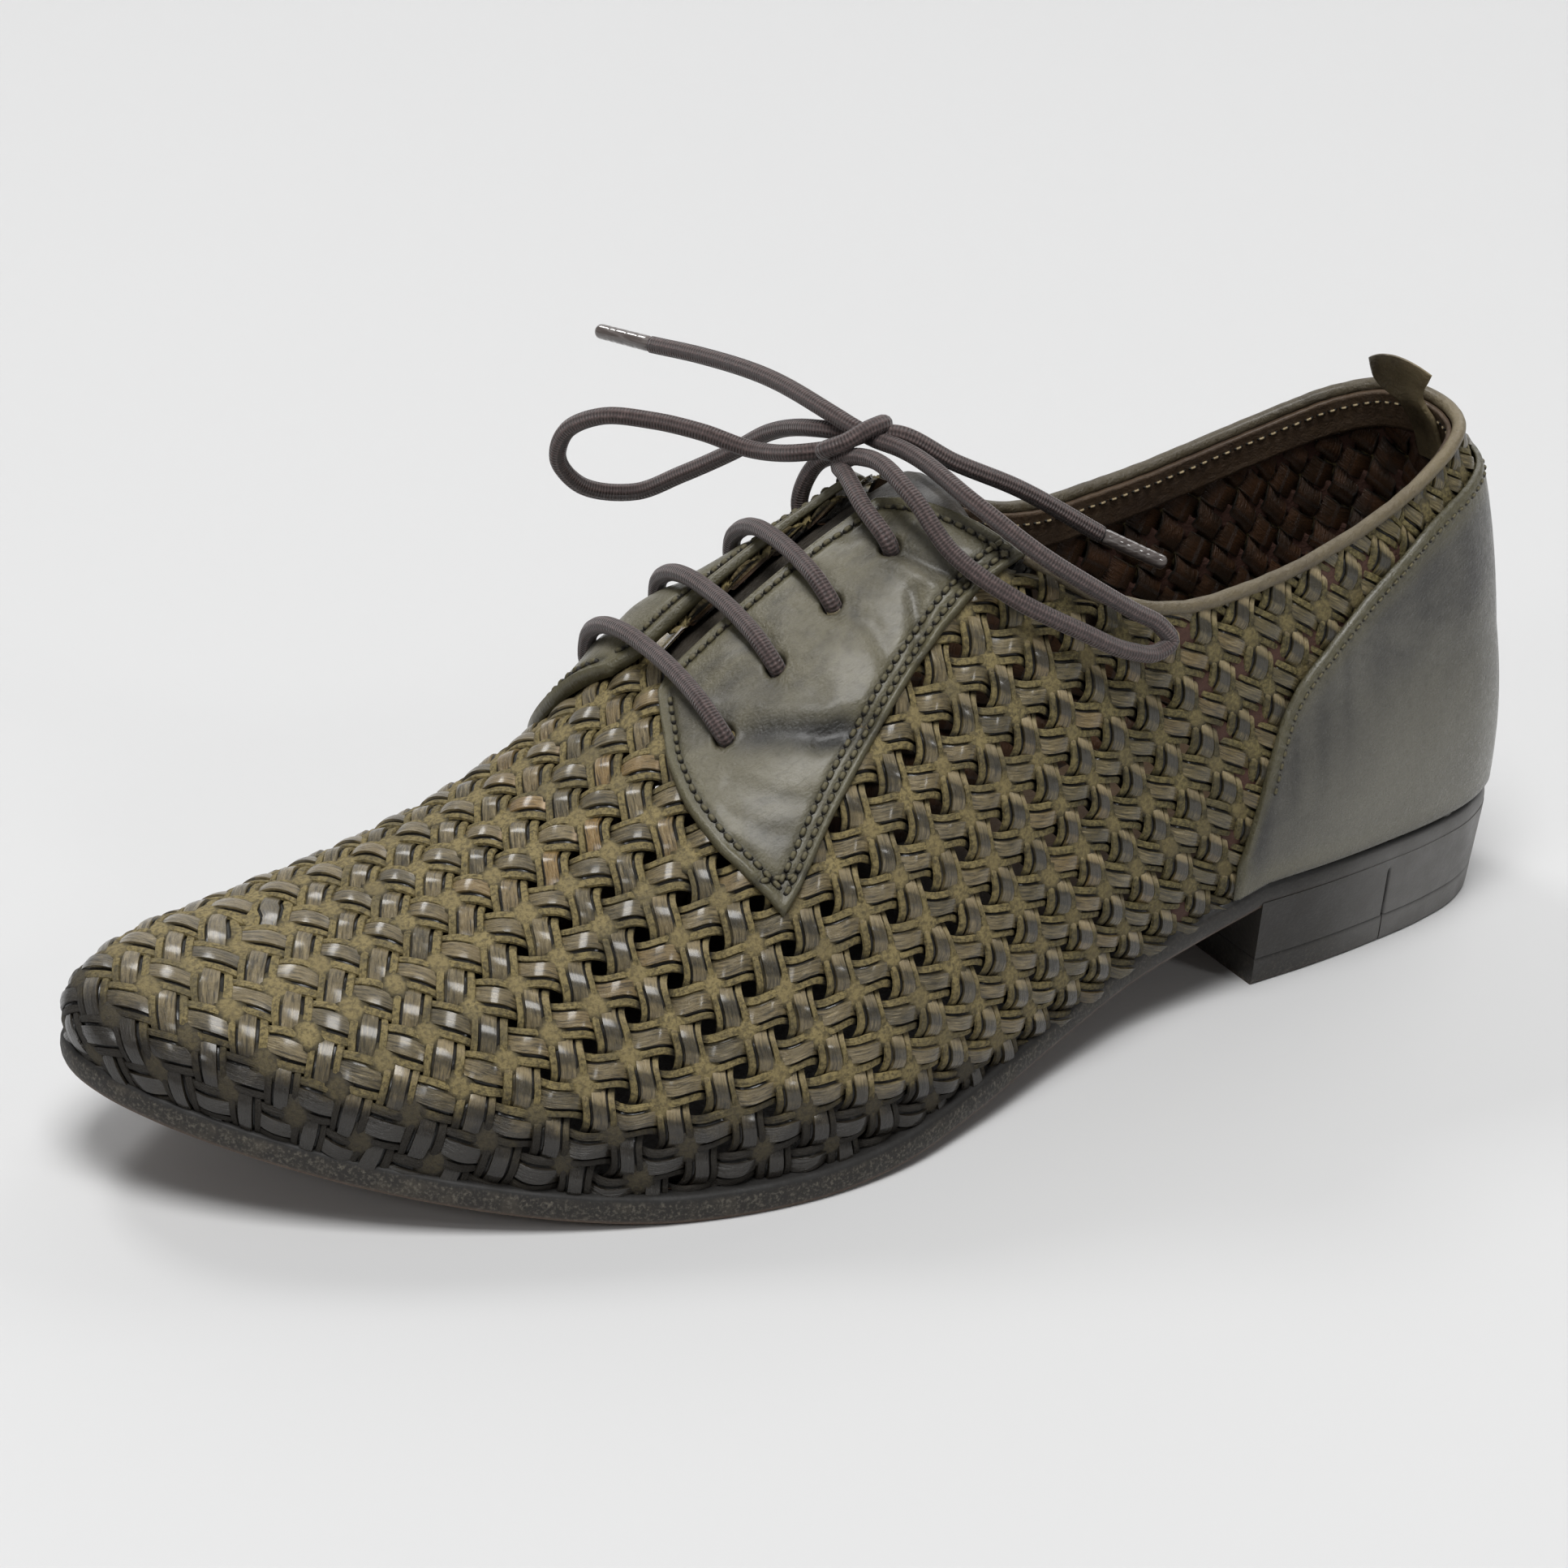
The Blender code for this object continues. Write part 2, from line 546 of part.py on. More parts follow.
def woven_cells():
    """Crossings of the weave that lie on the shoe, with no two joined at a corner alone."""
    cells = {(m, n) for n in range(-24, 26) for m in range(-45, 30)
             if (m + n) % 2 == 0 and in_woven_field(m, n)}
    while True:
        lone = set()
        for m, n in cells:
            for corner in ((m + 1, n), (m, n + 1), (m - 1, n), (m, n - 1)):
                around = [(corner[0] + u, corner[1] + v) for u, v in ((1, 0), (0, 1), (-1, 0), (0, -1))]
                have = [c in cells for c in around]
                if have in ([True, False, True, False], [False, True, False, True]):
                    lone.add(around[have.index(False)])
        if not lone:
            return cells
        cells |= lone


def open_gap(m, n):
    """True where the weave stands open: every second corner, on the flanks and the back of the vamp."""
    if n % 2 or not m % 2:
        return False
    a, b = weave_point(m, n)
    if not GAP_SPAN[0] < a < GAP_SPAN[1]:
        return False
    above_sole, below_collar, beside_facing = GAP_MARGIN
    a_array, b_array = np.array(a), np.array(b)
    _, girth = last.station(a_array, b_array)
    x, _, z = last.point(a_array, b_array)
    near_sole = last.foot_girth(a_array, b_array) - girth < above_sole
    near_collar = x < COLLAR[-1][0] and z > collar_height(x) - below_collar
    share = 1.0 if b > 0 else FACING_MEDIAL_SHARE
    edge = table(FACING, 2, a) * share + beside_facing
    near_facing = a < FACING[-1][0] + beside_facing and girth < edge
    return not (near_sole or near_collar or near_facing)


def is_covered(m, n):
    """True where a facing or the counter lies over a diamond."""
    a, b = weave_point(m, n)
    _, _, z = last.point(np.array(a), np.array(b))
    if a < COUNTER[-1][0] - HIDDEN_MARGIN and z < table(COUNTER, 1, a) - HIDDEN_MARGIN:
        return True
    inner, outer = table(FACING, 1, a), table(FACING, 2, a) * (1.0 if b > 0 else FACING_MEDIAL_SHARE)
    along = FACING[0][0] + HIDDEN_MARGIN < a < FACING[-1][0] - HIDDEN_MARGIN
    return along and inner + HIDDEN_MARGIN < abs(b) < outer - HIDDEN_MARGIN


def raised_strip(m, n, corners, loop, vertex):
    """Faces of a diamond whose strip stands up as a ridge between two of its sides."""
    worn = np.interp(weave_point(m, n)[0], TOE_FADE, (0.0, 1.0))
    top = WALL_HIGH - TOE_WEAR * worn
    ridge = []
    for p, q in ((0, 1), (2, 3)):
        middle = [(corners[p][k] + corners[q][k]) / 2 for k in (0, 1)]
        ridge.append(vertex(m + (middle[0] - m) * RIDGE, n + (middle[1] - n) * RIDGE, top))
    tops = ([ridge[0]], [ridge[1], ridge[0]], [ridge[1]], [ridge[0], ridge[1]])
    faces = []
    for k in range(4):
        start, end = loop[k][1], loop[(k + 1) % 4][0]
        faces.append([vertex(*start, WALL_LOW), vertex(*end, WALL_LOW)] + tops[k])
        first, second = loop[k]
        if first != second:
            faces.append([vertex(*first, WALL_LOW), vertex(*second, WALL_LOW), ridge[k // 2]])
    return faces


def woven_wall():
    """The woven wall: every diamond has a raised strip, and the gaps between strips are left open."""
    cells = woven_cells()
    points, faces = [], []
    known = {}

    def vertex(m, n, lift):
        key = (round(m, 4), round(n, 4), lift)
        if key not in known:
            a, b = weave_point(m, n)
            known[key] = len(points)
            points.append(last.lifted(np.array(a), np.array(b), lift))
        return known[key]

    def is_gap(m, n):
        around = ((m + 1, n), (m, n + 1), (m - 1, n), (m, n - 1))
        return open_gap(m, n) and all(c in cells for c in around)

    def near(corner, other):
        """The corner itself, or the lip of its gap on the side towards another corner."""
        if not is_gap(*corner):
            return corner
        return tuple(corner[k] + (other[k] - corner[k]) * GAP_SHARE for k in (0, 1))

    sides = {}
    for m, n in sorted(cells):
        corners = [(m - 1, n), (m, n - 1), (m + 1, n), (m, n + 1)]
        if n % 2:
            corners = corners[1:] + corners[:1]
        loop = []
        for k in range(4):
            here, before, after = corners[k], corners[k - 1], corners[(k + 1) % 4]
            loop.append((near(here, before), near(here, after)))
        outline = [p for pair in loop for p in (pair if pair[0] != pair[1] else pair[:1])]
        faces.append([vertex(*p, WALL_INNER) for p in reversed(outline)])
        if is_covered(m, n):
            faces.append([vertex(*p, WALL_LOW) for p in outline])
        else:
            faces += raised_strip(m, n, corners, loop, vertex)
        for k, start in enumerate(outline):
            end = outline[(k + 1) % len(outline)]
            sides.setdefault(frozenset((start, end)), []).append((start, end))
    for pair in sides.values():
        if len(pair) == 1:
            start, end = pair[0]
            faces.append([vertex(*end, WALL_LOW), vertex(*start, WALL_LOW),
                          vertex(*start, WALL_INNER), vertex(*end, WALL_INNER)])
    return np.array(points), faces


def heel_wrap(lifts, front_x, top_of, steps, rows, below=0.0):
    """Solid round the heel from one side to the other, between two lifts of the last."""
    places = np.linspace(last.heel_start, front_x, steps)
    order = [(a, MEDIAL) for a in places[:0:-1]] + [(a, LATERAL) for a in places]
    grids = []
    for lift in lifts:
        grid = []
        for a, side in order:
            top = last.girth_at_height(a, side, top_of(a))
            foot = float(last.foot_girth(np.array(a), np.array(float(side)))) + below
            b = np.linspace(top, max(foot, top + 0.5), rows)
            grid.append(last.lifted(np.full(rows, a), side * b, np.full(rows, lift)))
        grids.append(np.array(grid))
    return sheet_solid(*grids)


def chart_x(a):
    return float(last.point(np.array(a), np.array(60.0))[0])


def make_upper():
    points, faces = woven_wall()
    upper = add_object("upper", points, faces, "woven_leather")
    shell = heel_wrap(HEEL_SHELL, HEEL_SHELL_X, lambda a: collar_height(chart_x(a)) + 6.0, 11, 6, 7.0)
    cut(upper, cutter("heel_shell", *shell), "UNION")
    x = np.unique(np.concatenate([np.linspace(-20, 312, 43), [BREAST_X, *TREAD_X]]))
    floor = [(u, float(sole_top(u)) + CLEAR) for u in x]
    cut(upper, cutter("sole_space", *prism([(-20, -30)] + floor + [(312, -30)], -90, 90, "y")))
    x = np.linspace(COLLAR[0][0], COLLAR[-1][0], 26)
    edge = [(u, float(collar_height(u))) for u in x]
    cut(upper, cutter("collar_space", *prism(edge + [(COLLAR[-1][0], 170), (COLLAR[0][0], 170)], -90, 90, "y")))
    x = np.linspace(THROAT[0][0], THROAT[-1][0], 9)
    middle, half = table(LAST, 2, x), table(THROAT, 1, x)
    slit = list(zip(x, middle + half)) + list(zip(x, middle - half))[::-1]
    cut(upper, cutter("throat_slit", *prism(slit, 50, 170, "z")))
    return upper


def make_counter():
    top = lambda a: float(table(COUNTER, 1, a))
    foot_gap = -CLEAR - 0.6
    return add_object("heel_counter", *heel_wrap(COUNTER_LIFT, COUNTER[-1][0], top, 15, 7, foot_gap),
                      "counter_leather", 0.7)


def make_facing(name, side):
    share = 1.0 if side == LATERAL else FACING_MEDIAL_SHARE
    a = np.concatenate([np.linspace(FACING[0][0], 178, 10), [180.5, 182.5, 184.5]])
    rows = 8
    grids = []
    for lift in FACING_LIFT:
        grid = []
        for place in a:
            inner, outer = float(table(FACING, 1, place)), float(table(FACING, 2, place))
            low = inner if inner <= 6 else inner * share
            b = np.linspace(low, outer * share, rows)
            grid.append(last.lifted(np.full(rows, place), side * b, np.full(rows, lift)))
        grids.append(np.array(grid))
    facing = add_object(name, *sheet_solid(*grids), "smooth_leather", 0.7)
    for number, (place, girth) in enumerate(EYELETS):
        tool = cutter(f"{name}_eyelet_{number}", *eyelet_tool(place, girth, side))
        cut(facing, tool)
    return facing


def eyelet_tool(place, girth, side):
    """Short eight-sided plug through the facing."""
    centre = last.point(np.array(place), np.array(side * girth))
    normal = last.normal(np.array(place), np.array(side * girth))
    u = np.cross(normal, (0, 0, 1.0))
    u /= np.linalg.norm(u)
    v = np.cross(normal, u)
    turn = np.arange(8) * np.pi / 4
    ring = [centre + EYELET_R * (np.cos(t) * u + np.sin(t) * v) for t in turn]
    points = [p + normal * lift for lift in (-1.0, 6.0) for p in ring]
    faces = [list(range(8)), list(range(15, 7, -1))]
    faces += [[k, (k + 1) % 8, 8 + (k + 1) % 8, 8 + k] for k in range(8)]
    return points, faces


def make_tongue():
    a = np.linspace(TONGUE[0][0], TONGUE[-1][0], 11)
    rows = 7
    grids = []
    for lift in TONGUE_LIFT:
        grid = []
        for place in a:
            half = float(table(TONGUE, 1, place))
            grid.append(last.lifted(np.full(rows, place), np.linspace(-half, half, rows), np.full(rows, lift)))
        grids.append(np.array(grid))
    return add_object("tongue", *sheet_solid(*grids), "lining_leather", 0.7)


def tube(path, radius, sides):
    """Closed round tube along points."""
    path = np.asarray(path, float)
    forward = np.gradient(path, axis=0)
    forward /= np.linalg.norm(forward, axis=1, keepdims=True)
    side = np.cross(forward[0], (0, 0, 1.0))
    points = []
    for place, ahead in zip(path, forward):
        side = side - ahead * (side @ ahead)
        side /= np.linalg.norm(side)
        up = np.cross(ahead, side)
        turn = np.arange(sides) * 2 * np.pi / sides
        points += [place + radius * (np.cos(t) * side + np.sin(t) * up) for t in turn]
    faces = [list(range(sides))[::-1], [len(points) - sides + k for k in range(sides)]]
    for ring in range(len(path) - 1):
        for k in range(sides):
            start, end = ring * sides + k, ring * sides + (k + 1) % sides
            faces.append([start, end, end + sides, start + sides])
    return points, faces


def binding_girth(a, side):
    """Girth at which the middle of the rolled edge runs, clear of the wall's top edge."""
    b = np.linspace(0, 80, 800)
    x, _, z = last.point(np.full_like(b, a), side * b).T
    slope = collar_height(x + 0.5) - collar_height(x - 0.5)
    over = collar_height(x) + (CLEAR + BINDING_R) * np.hypot(1, slope)
    return b[np.nonzero(z <= over)[0][0]]


def make_binding():
    """Rolled edge: a round cord of leather just above the wall's top edge."""
    places = np.linspace(last.heel_start, BINDING_FRONT_X, 21)
    order = [(a, MEDIAL) for a in places[:0:-1]] + [(a, LATERAL) for a in places]
    path = []
    for a, side in order:
        path.append(last.lifted(np.array(a), np.array(side * binding_girth(a, side)), np.array(BINDING_LIFT)))
    return add_object("collar_binding", *tube(path, BINDING_R, 6), "binding_leather", 1.1)


def make_pull_tab():
    path = np.asarray(TAB_PATH, float)
    line = smooth_path(path, 3)
    ahead = np.gradient(line[:, :2], axis=0)
    ahead /= np.linalg.norm(ahead, axis=1, keepdims=True)
    across = np.stack([-ahead[:, 1], ahead[:, 0]], -1)
    grids = []
    for side in (0.5, -0.5):
        grid = []
        for place, out in zip(line, across):
            x, z = place[:2] + out * TAB_THICK * side
            grid.append([(x, y, z) for y in np.linspace(-place[2], place[2], 4)])
        grids.append(np.array(grid))
    return add_object("pull_tab", *sheet_solid(*grids), "binding_leather", 0.7)


def eyelet_place(number, side, lift):
    place, girth = EYELETS[number]
    return last.lifted(np.array(place), np.array(side * girth), np.array(lift))


def make_lace_bars():
    """Bars of the lace over the throat, resting on both facings."""
    for number, (place, girth) in enumerate(EYELETS[:-1]):
        line = []
        for share in np.linspace(0, 1, 5):
            over = last.lifted(np.array(place), np.array(girth * (1 - 2 * share)), np.array(LACE_REST))
            line.append(over + np.array([0.0, 0.0, BAR_RISE * np.sin(np.pi * share)]))
        add_object(f"lace_bar_{number + 1}", *tube(smooth_path(line, 2), LACE_R, 6), "lace_cord", 1.1)


def make_cord(name, route, radius, finish="lace_cord"):
    """Free stretch of lace: a round cord on a smooth curve through its route."""
    dense = smooth_path(route, 24)
    arc = np.concatenate([[0], np.cumsum(np.linalg.norm(np.diff(dense, axis=0), axis=1))])
    at = np.linspace(0, arc[-1], max(3, int(round(arc[-1] / CORD_STEP)) + 1))
    points = np.stack([np.interp(at, arc, dense[:, c]) for c in range(3)], -1) * MM
    curve = bpy.data.curves.new(name, "CURVE")
    curve.dimensions = "3D"
    curve.bevel_depth = radius * MM
    curve.bevel_resolution = 2
    curve.use_fill_caps = True
    spline = curve.splines.new("POLY")
    spline.points.add(len(points) - 1)
    for place, point in zip(spline.points, points):
        place.co = (*point, 1)
    curve.materials.append(FINISH[finish])
    thing = bpy.data.objects.new(name, curve)
    bpy.context.collection.objects.link(thing)
    CORDS.append(thing)


def make_bow():
    make_cord("lace_knot", KNOT, KNOT_R)
    make_cord("lace_loop_front", LOOP_FRONT, LACE_R)
    make_cord("lace_loop_rear", LOOP_REAR, LACE_R)
    make_cord("lace_end_front", END_FRONT, LACE_R)
    make_cord("lace_end_rear", END_REAR, LACE_R)
    make_cord("aglet_front", AGLET_FRONT, LACE_R, "aglet")
    make_cord("aglet_rear", AGLET_REAR, LACE_R, "aglet")
    for name, route, side in (("lateral", RISER_LATERAL, LATERAL), ("medial", RISER_MEDIAL, MEDIAL)):
        top_eyelet = eyelet_place(len(EYELETS) - 1, side, LACE_REST)
        make_cord(f"lace_riser_{name}", (*route, tuple(top_eyelet)), LACE_R)


def stand_on_origin():
    """Carry every piece on an empty that puts the origin under the middle of the shoe, on the floor."""
    bpy.context.view_layer.update()
    graph = bpy.context.evaluated_depsgraph_get()
    corners = []
    for thing in bpy.data.objects:
        if not thing.hide_render and thing not in CORDS:
            corners += [tuple(corner) for corner in thing.evaluated_get(graph).bound_box]
    low, high = np.min(corners, axis=0), np.max(corners, axis=0)
    carrier = bpy.data.objects.new("shoe", None)
    for thing in list(bpy.data.objects):
        if thing is not carrier:
            thing.parent = carrier
    bpy.context.collection.objects.link(carrier)
    carrier.location = (-(low[0] + high[0]) / 2, -(low[1] + high[1]) / 2, -low[2])


def clear_scene():
    for thing in list(bpy.data.objects):
        bpy.data.objects.remove(thing, do_unlink=True)


clear_scene()
CORDS = []
FINISH = finishes()
make_outsole()
make_heel()
make_insole()
make_upper()
make_tongue()
make_counter()
make_facing("facing_lateral", LATERAL)
make_facing("facing_medial", MEDIAL)
make_binding()
make_pull_tab()
make_lace_bars()
make_bow()
stand_on_origin()
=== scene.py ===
"""Left braided leather shoe: the visible finish of every piece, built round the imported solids.

Sizes are in millimetres in the shoe's own frame: x from the back of the heel to the toe, y positive
towards the outer (lateral) side, z up from the floor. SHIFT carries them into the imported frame.
"""
import math

import bpy
import bmesh
import numpy as np
from mathutils import Matrix, Vector


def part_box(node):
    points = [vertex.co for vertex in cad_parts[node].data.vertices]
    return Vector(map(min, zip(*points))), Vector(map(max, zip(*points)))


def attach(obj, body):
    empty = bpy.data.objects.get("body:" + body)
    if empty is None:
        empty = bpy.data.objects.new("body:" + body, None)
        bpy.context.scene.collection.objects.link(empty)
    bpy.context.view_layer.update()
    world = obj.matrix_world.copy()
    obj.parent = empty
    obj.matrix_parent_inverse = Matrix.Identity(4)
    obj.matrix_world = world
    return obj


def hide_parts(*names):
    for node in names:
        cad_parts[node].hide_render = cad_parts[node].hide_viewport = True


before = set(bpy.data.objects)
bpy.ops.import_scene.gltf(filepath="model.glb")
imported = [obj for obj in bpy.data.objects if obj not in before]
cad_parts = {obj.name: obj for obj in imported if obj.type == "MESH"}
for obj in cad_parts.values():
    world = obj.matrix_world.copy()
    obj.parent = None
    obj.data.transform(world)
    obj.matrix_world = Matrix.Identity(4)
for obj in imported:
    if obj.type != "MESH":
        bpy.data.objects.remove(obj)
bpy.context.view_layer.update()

bl_info = {
    "name": "Braided leather shoe",
    "version": (1, 0, 0),
    "blender": (4, 5, 0),
    "location": "View3D > Sidebar > Shoe",
    "description": "Woven upper, smooth leather pieces, sole, laces and stage of a braided leather shoe",
    "category": "Add Mesh",
}

MM = 0.001
LATERAL, MEDIAL = 1, -1
FAR = 1000.0           # past either end of the shoe
SHORTEST_EDGE = 2e-6   # in metres; shorter ones are dissolved

# Sole and heel
SOLE_THICK = 5.5
HEEL_HEIGHT = 17.5
BREAST_X = 70.0
TREAD_X = (183.0, 205.0)
TOE_SPRING = 20.5
ARCH_POWER, SPRING_POWER = 1.5, 1.6
SOLE_LENGTH = 294.0
LIFT_THICK = 6.0
JOINT_X = 37.5         # upright joint through the heel
JOINT_WIDTH, JOINT_DEPTH, JOINT_GAP = 0.32, 0.7, 0.15
HEEL_TAPER = 1.6
HEEL_INSET = 0.9
HEEL_FLUSH = -0.12
SOLE_PLAN = (          # x, lateral y, medial y
    (0, 0, 0), (1.2, 9, -9), (5, 17.5, -17), (13, 24, -23.5), (25, 28.5, -28), (40, 31.5, -31),
    (55, 33.5, -32), (70, 34.5, -32), (85, 35.5, -31), (100, 37.5, -30), (120, 44, -30.5),
    (145, 54, -34), (165, 60.5, -39), (180, 62, -43), (195, 60.8, -45.5), (210, 57, -46),
    (225, 51.5, -44.8), (240, 44.5, -42), (255, 36, -38), (268, 27, -33.5), (279, 17.5, -29),
    (287, 8.5, -24), (292, 0, -18.5), (294, -9, -9),
)
SOLE_MIDDLE_Y = 8.0
OUTLINE_CLEAR = 0.03   # from the tips of the outline to the first and last section
SOLE_EDGE = (          # inset from the outline, height above the underside
    (1.1, 0.0), (0.35, 0.35), (0.0, 1.2), (-0.15, 2.6), (0.0, 4.1), (0.3, 4.9), (0.75, 5.35),
    (1.4, SOLE_THICK),
)
LIFT_EDGE = (          # inset from the heel's side, height above the floor
    (0.5, 0.0), (0.08, 0.4), (0.0, 1.2), (0.0, 5.0), (0.1, 5.7), (0.3, LIFT_THICK),
)
SOCK_EDGE = (          # inset from the outline, height above the sole
    (5.6, 0.3), (5.4, 1.2), (5.7, 2.0), (6.8, 2.3), (12.0, 2.2),
)

# Last
HEEL_AXIS_X = 38.0
TOE_AXIS_X = 258.0
LAST = (               # x, crown z, crown y, fullness lateral, medial, up, inset lateral, medial, belly
    (38, 124, 0, 2.5, 2.5, 2.4, 1.7, 1.7, 1.3),
    (80, 120, -2, 2.6, 2.6, 2.4, 1.2, 1.2, 1.4),
    (110, 112, -5, 2.5, 2.6, 2.2, 0.5, 0.0, 1.6),
    (130, 102.5, -6.5, 2.4, 2.7, 2.1, 1.5, 0.5, 1.5),
    (150, 92.5, -7, 2.3, 2.8, 2.0, 2.5, 1.5, 1.5),
    (165, 83.5, -7, 2.3, 2.8, 2.0, 3.0, 2.0, 1.5),
    (180, 73.5, -6.5, 2.3, 2.6, 2.0, 3.0, 2.5, 1.5),
    (195, 64, -6, 2.3, 2.4, 2.0, 3.0, 2.5, 1.5),
    (215, 54, -6.5, 2.3, 2.3, 2.0, 2.5, 2.5, 1.5),
    (240, 46.5, -8, 2.4, 2.4, 2.05, 2.0, 2.0, 1.7),
    (258, 43, -9, 2.5, 2.5, 2.1, 1.0, 1.0, 1.8),
)
CROWN_Z, CROWN_Y, FULL_LATERAL, FULL_MEDIAL, FULL_UP, INSET_LATERAL, INSET_MEDIAL, BELLY = range(1, 9)
PROFILE_STEPS, SKIRT_STEPS = 160, 4
TIP_FULLNESS = (3.4, 2.8)
TOE_SLOPE = -0.10
HEEL_BELLY = 0.4
BELLY_HEIGHT = 34.0
SKIRT = 14.0
HEEL_WRAP = 34.0

# Weave, set out on the chart of the last
HALF_ALONG = 4.25
HALF_ACROSS = 5.5
WEAVE_START = (204.15, 11.4)
WEAVE_BOW = 0.0024
WEAVE_TILT = 0.07
WEAVE_TILT_START = 20.0
WEAVE_CREST = 3.0
STRIP_PITCH = 6.73     # between neighbouring strips of one direction
STRIP_CLEAR = 0.15     # between neighbouring strips where the weave is closed
STRIP_LEAN, PANEL_DRIFT, BULGE = 0.10, 0.16, 0.3   # spread of tilt, panel place and height over the floats
WAVE_SQUARE = 0.7      # how flat the tops of the wave are
STRIP_TONES = ("crest", "hue", "rust", "fold", "band", "burnish", "inside", "quarter", "head", "heart", "tip")
STRIP_LAYERS = STRIP_TONES + ("along", "across")
STRIP_FAMILIES = (     # piece, true for the narrow strips, first strip, reach along, solid that it replaces
    ("woven_strips_down_even", True, -34, (-45, 30), ("upper",)),
    ("woven_strips_down_odd", True, -33, (-45, 30), ()),
    ("woven_strips_up_even", False, -42, (-36, 32), ()),
    ("woven_strips_up_odd", False, -41, (-36, 32), ()),
)
STRIP_END = 30         # strip number that no family reaches
THROAT_START = 112.0   # chart length where the throat opens
THROAT = (8.0, 180.5)          # half width and end of the throat, for the middles of the strips
THROAT_TRIM = (4.5, 176.5)     # the same for their edges
THROAT_FILL = (14.0, 178.0)    # the same for the fillings

# Where a look changes over the chart, as start and end of a smooth step
OPEN_FORE = (212, 246)         # length over which the weave closes towards the toe
OPEN_REAR = (60, 112)          # length over which it opens in front of the heel
OPEN_CROWN = (44, 12)          # girth over which it closes towards the crown
OPEN_INNER = (10, -14)         # girth over which it closes further on the inner side
OPEN_LOW = (80, 98)            # girth over which it closes towards the sole
OPEN_LEAST = 0.05
QUARTER_ENDS = (95, 160)       # length over which the quarter's tones end
TOE_FLATTENS = (228, 262)      # length over which the strips flatten
FOLD_SHADE_CHANGE = (110, 150)     # length over which the darker painted shade of the folds changes sides
BURNISH_RISES = (120, 195)     # length over which the burnish grows from its low to its high reach
BURNISH_LOW, BURNISH_MORE = 6.0, 18.0
BURNISH_DEEPENS = (110, 170)   # length over which it grows darker
BURNISH_TIP = (276, 296)       # length along the shoe over which the toe darkens
TOE_TIP_Y = -9.0
# Patches of tone on the chart: length and girth of the middle, reach along and across
RUST_VAMP = (205, 18, 22, 34)
# Where the bent ends of the floats take painted sheen and wear
VAMP_TIP_SHEEN_AND_WEAR = (204, 14, 24, 30)
RUST_QUARTER = (105, 30)       # length of the middle, reach along

COLLAR = (             # x, z of the wall's top edge seen from the side
    (-30, 98), (8, 98), (20, 95), (31, 91), (40, 88), (52, 84.8), (63, 82.4), (74, 81),
    (84, 80.3), (94, 81.5), (101, 84), (108, 87), (114, 91), (120, 95), (128, 99), (137, 101.5),
)
COUNTER = (            # chart length along the heel, top edge z
    (-15.4, 92), (0, 91), (12, 89), (26, 85.5), (38, 80.5), (46, 76), (56, 68.5), (64, 61.5),
    (70, 51), (74, 40), (77.5, 29),
)
FACING_OUTER = (       # chart length, outer edge in girth from the crown
    (119, 32.0), (127, 32.5), (135, 34.8), (146, 39.6), (158, 46.0), (170, 53.0), (178, 58.0),
    (182.5, 60.0),
)
FACING_FRONT = (       # girth from the crown, chart length of the front edge
    (5, 181.3), (10, 183.5), (15, 185.4), (21, 187.6), (31, 188.9), (40.5, 187.9), (48, 185.6),
    (55, 183.3), (60, 181.6),
)
FACING_TOP, FACING_TOP_DROP, FACING_TOP_POWER = 135.0, 16.0, 0.85
FACING_THROAT = 5.0    # girth of the facings' inner edge
FACING_MEDIAL_SHARE = 0.86
FACING_MEDIAL_LONGER = 2.0
EYELETS = ((178.0, 25.8), (165.3, 22.2), (152.3, 19.2), (139.0, 16.5))         # chart length, girth
TONGUE = ((124, 19), (135, 22), (150, 24), (165, 24), (180, 22), (192, 16))    # chart length, half width
TONGUE_SEAT, TONGUE_THICK = -4.4, 1.5
TAB_ROWS = (           # inner edge, outer edge and bow of the middle, from the pull tab's foot to its end
    ((10.4, -4.2, 86.0), (10.4, 4.2, 86.0), (-0.3, 0, 0)),
    ((12.0, -4.2, 91.0), (11.8, 4.2, 91.0), (-0.4, 0, 0)),
    ((15.2, -3.6, 96.4), (13.6, 4.0, 95.6), (-0.5, 0, 0)),
    ((18.0, -3.6, 99.3), (15.2, 3.0, 98.4), (-0.6, 0, 0)),
    ((19.6, -5.3, 100.7), (15.9, 2.6, 100.4), (-0.6, 0, 0.1)),
    ((20.8, -6.6, 102.5), (16.1, 3.2, 102.4), (-0.5, 0, 0.5)),
    ((21.7, -6.8, 104.8), (16.4, 4.7, 104.5), (0.2, 0, 1.3)),
    ((22.5, -6.5, 107.1), (16.7, 6.0, 106.4), (1.3, 0.2, 2.4)),
)

# Camera, fitted to the photograph
VIEW_AZIMUTH, VIEW_ELEVATION = 151.65, 24.98
VIEW_EYE = (550.8, 686.9, 435.3)
VIEW_AIM_PX = (1070.0, 1040.0)     # pixel of the photograph that the frame is centred on
VIEW_FOCAL_PX = 4200.0
PHOTO_PX = 1932.0
VIEW_ZOOM = 1.40                   # the frame takes in the one shoe
SENSOR_WIDTH = 36.0

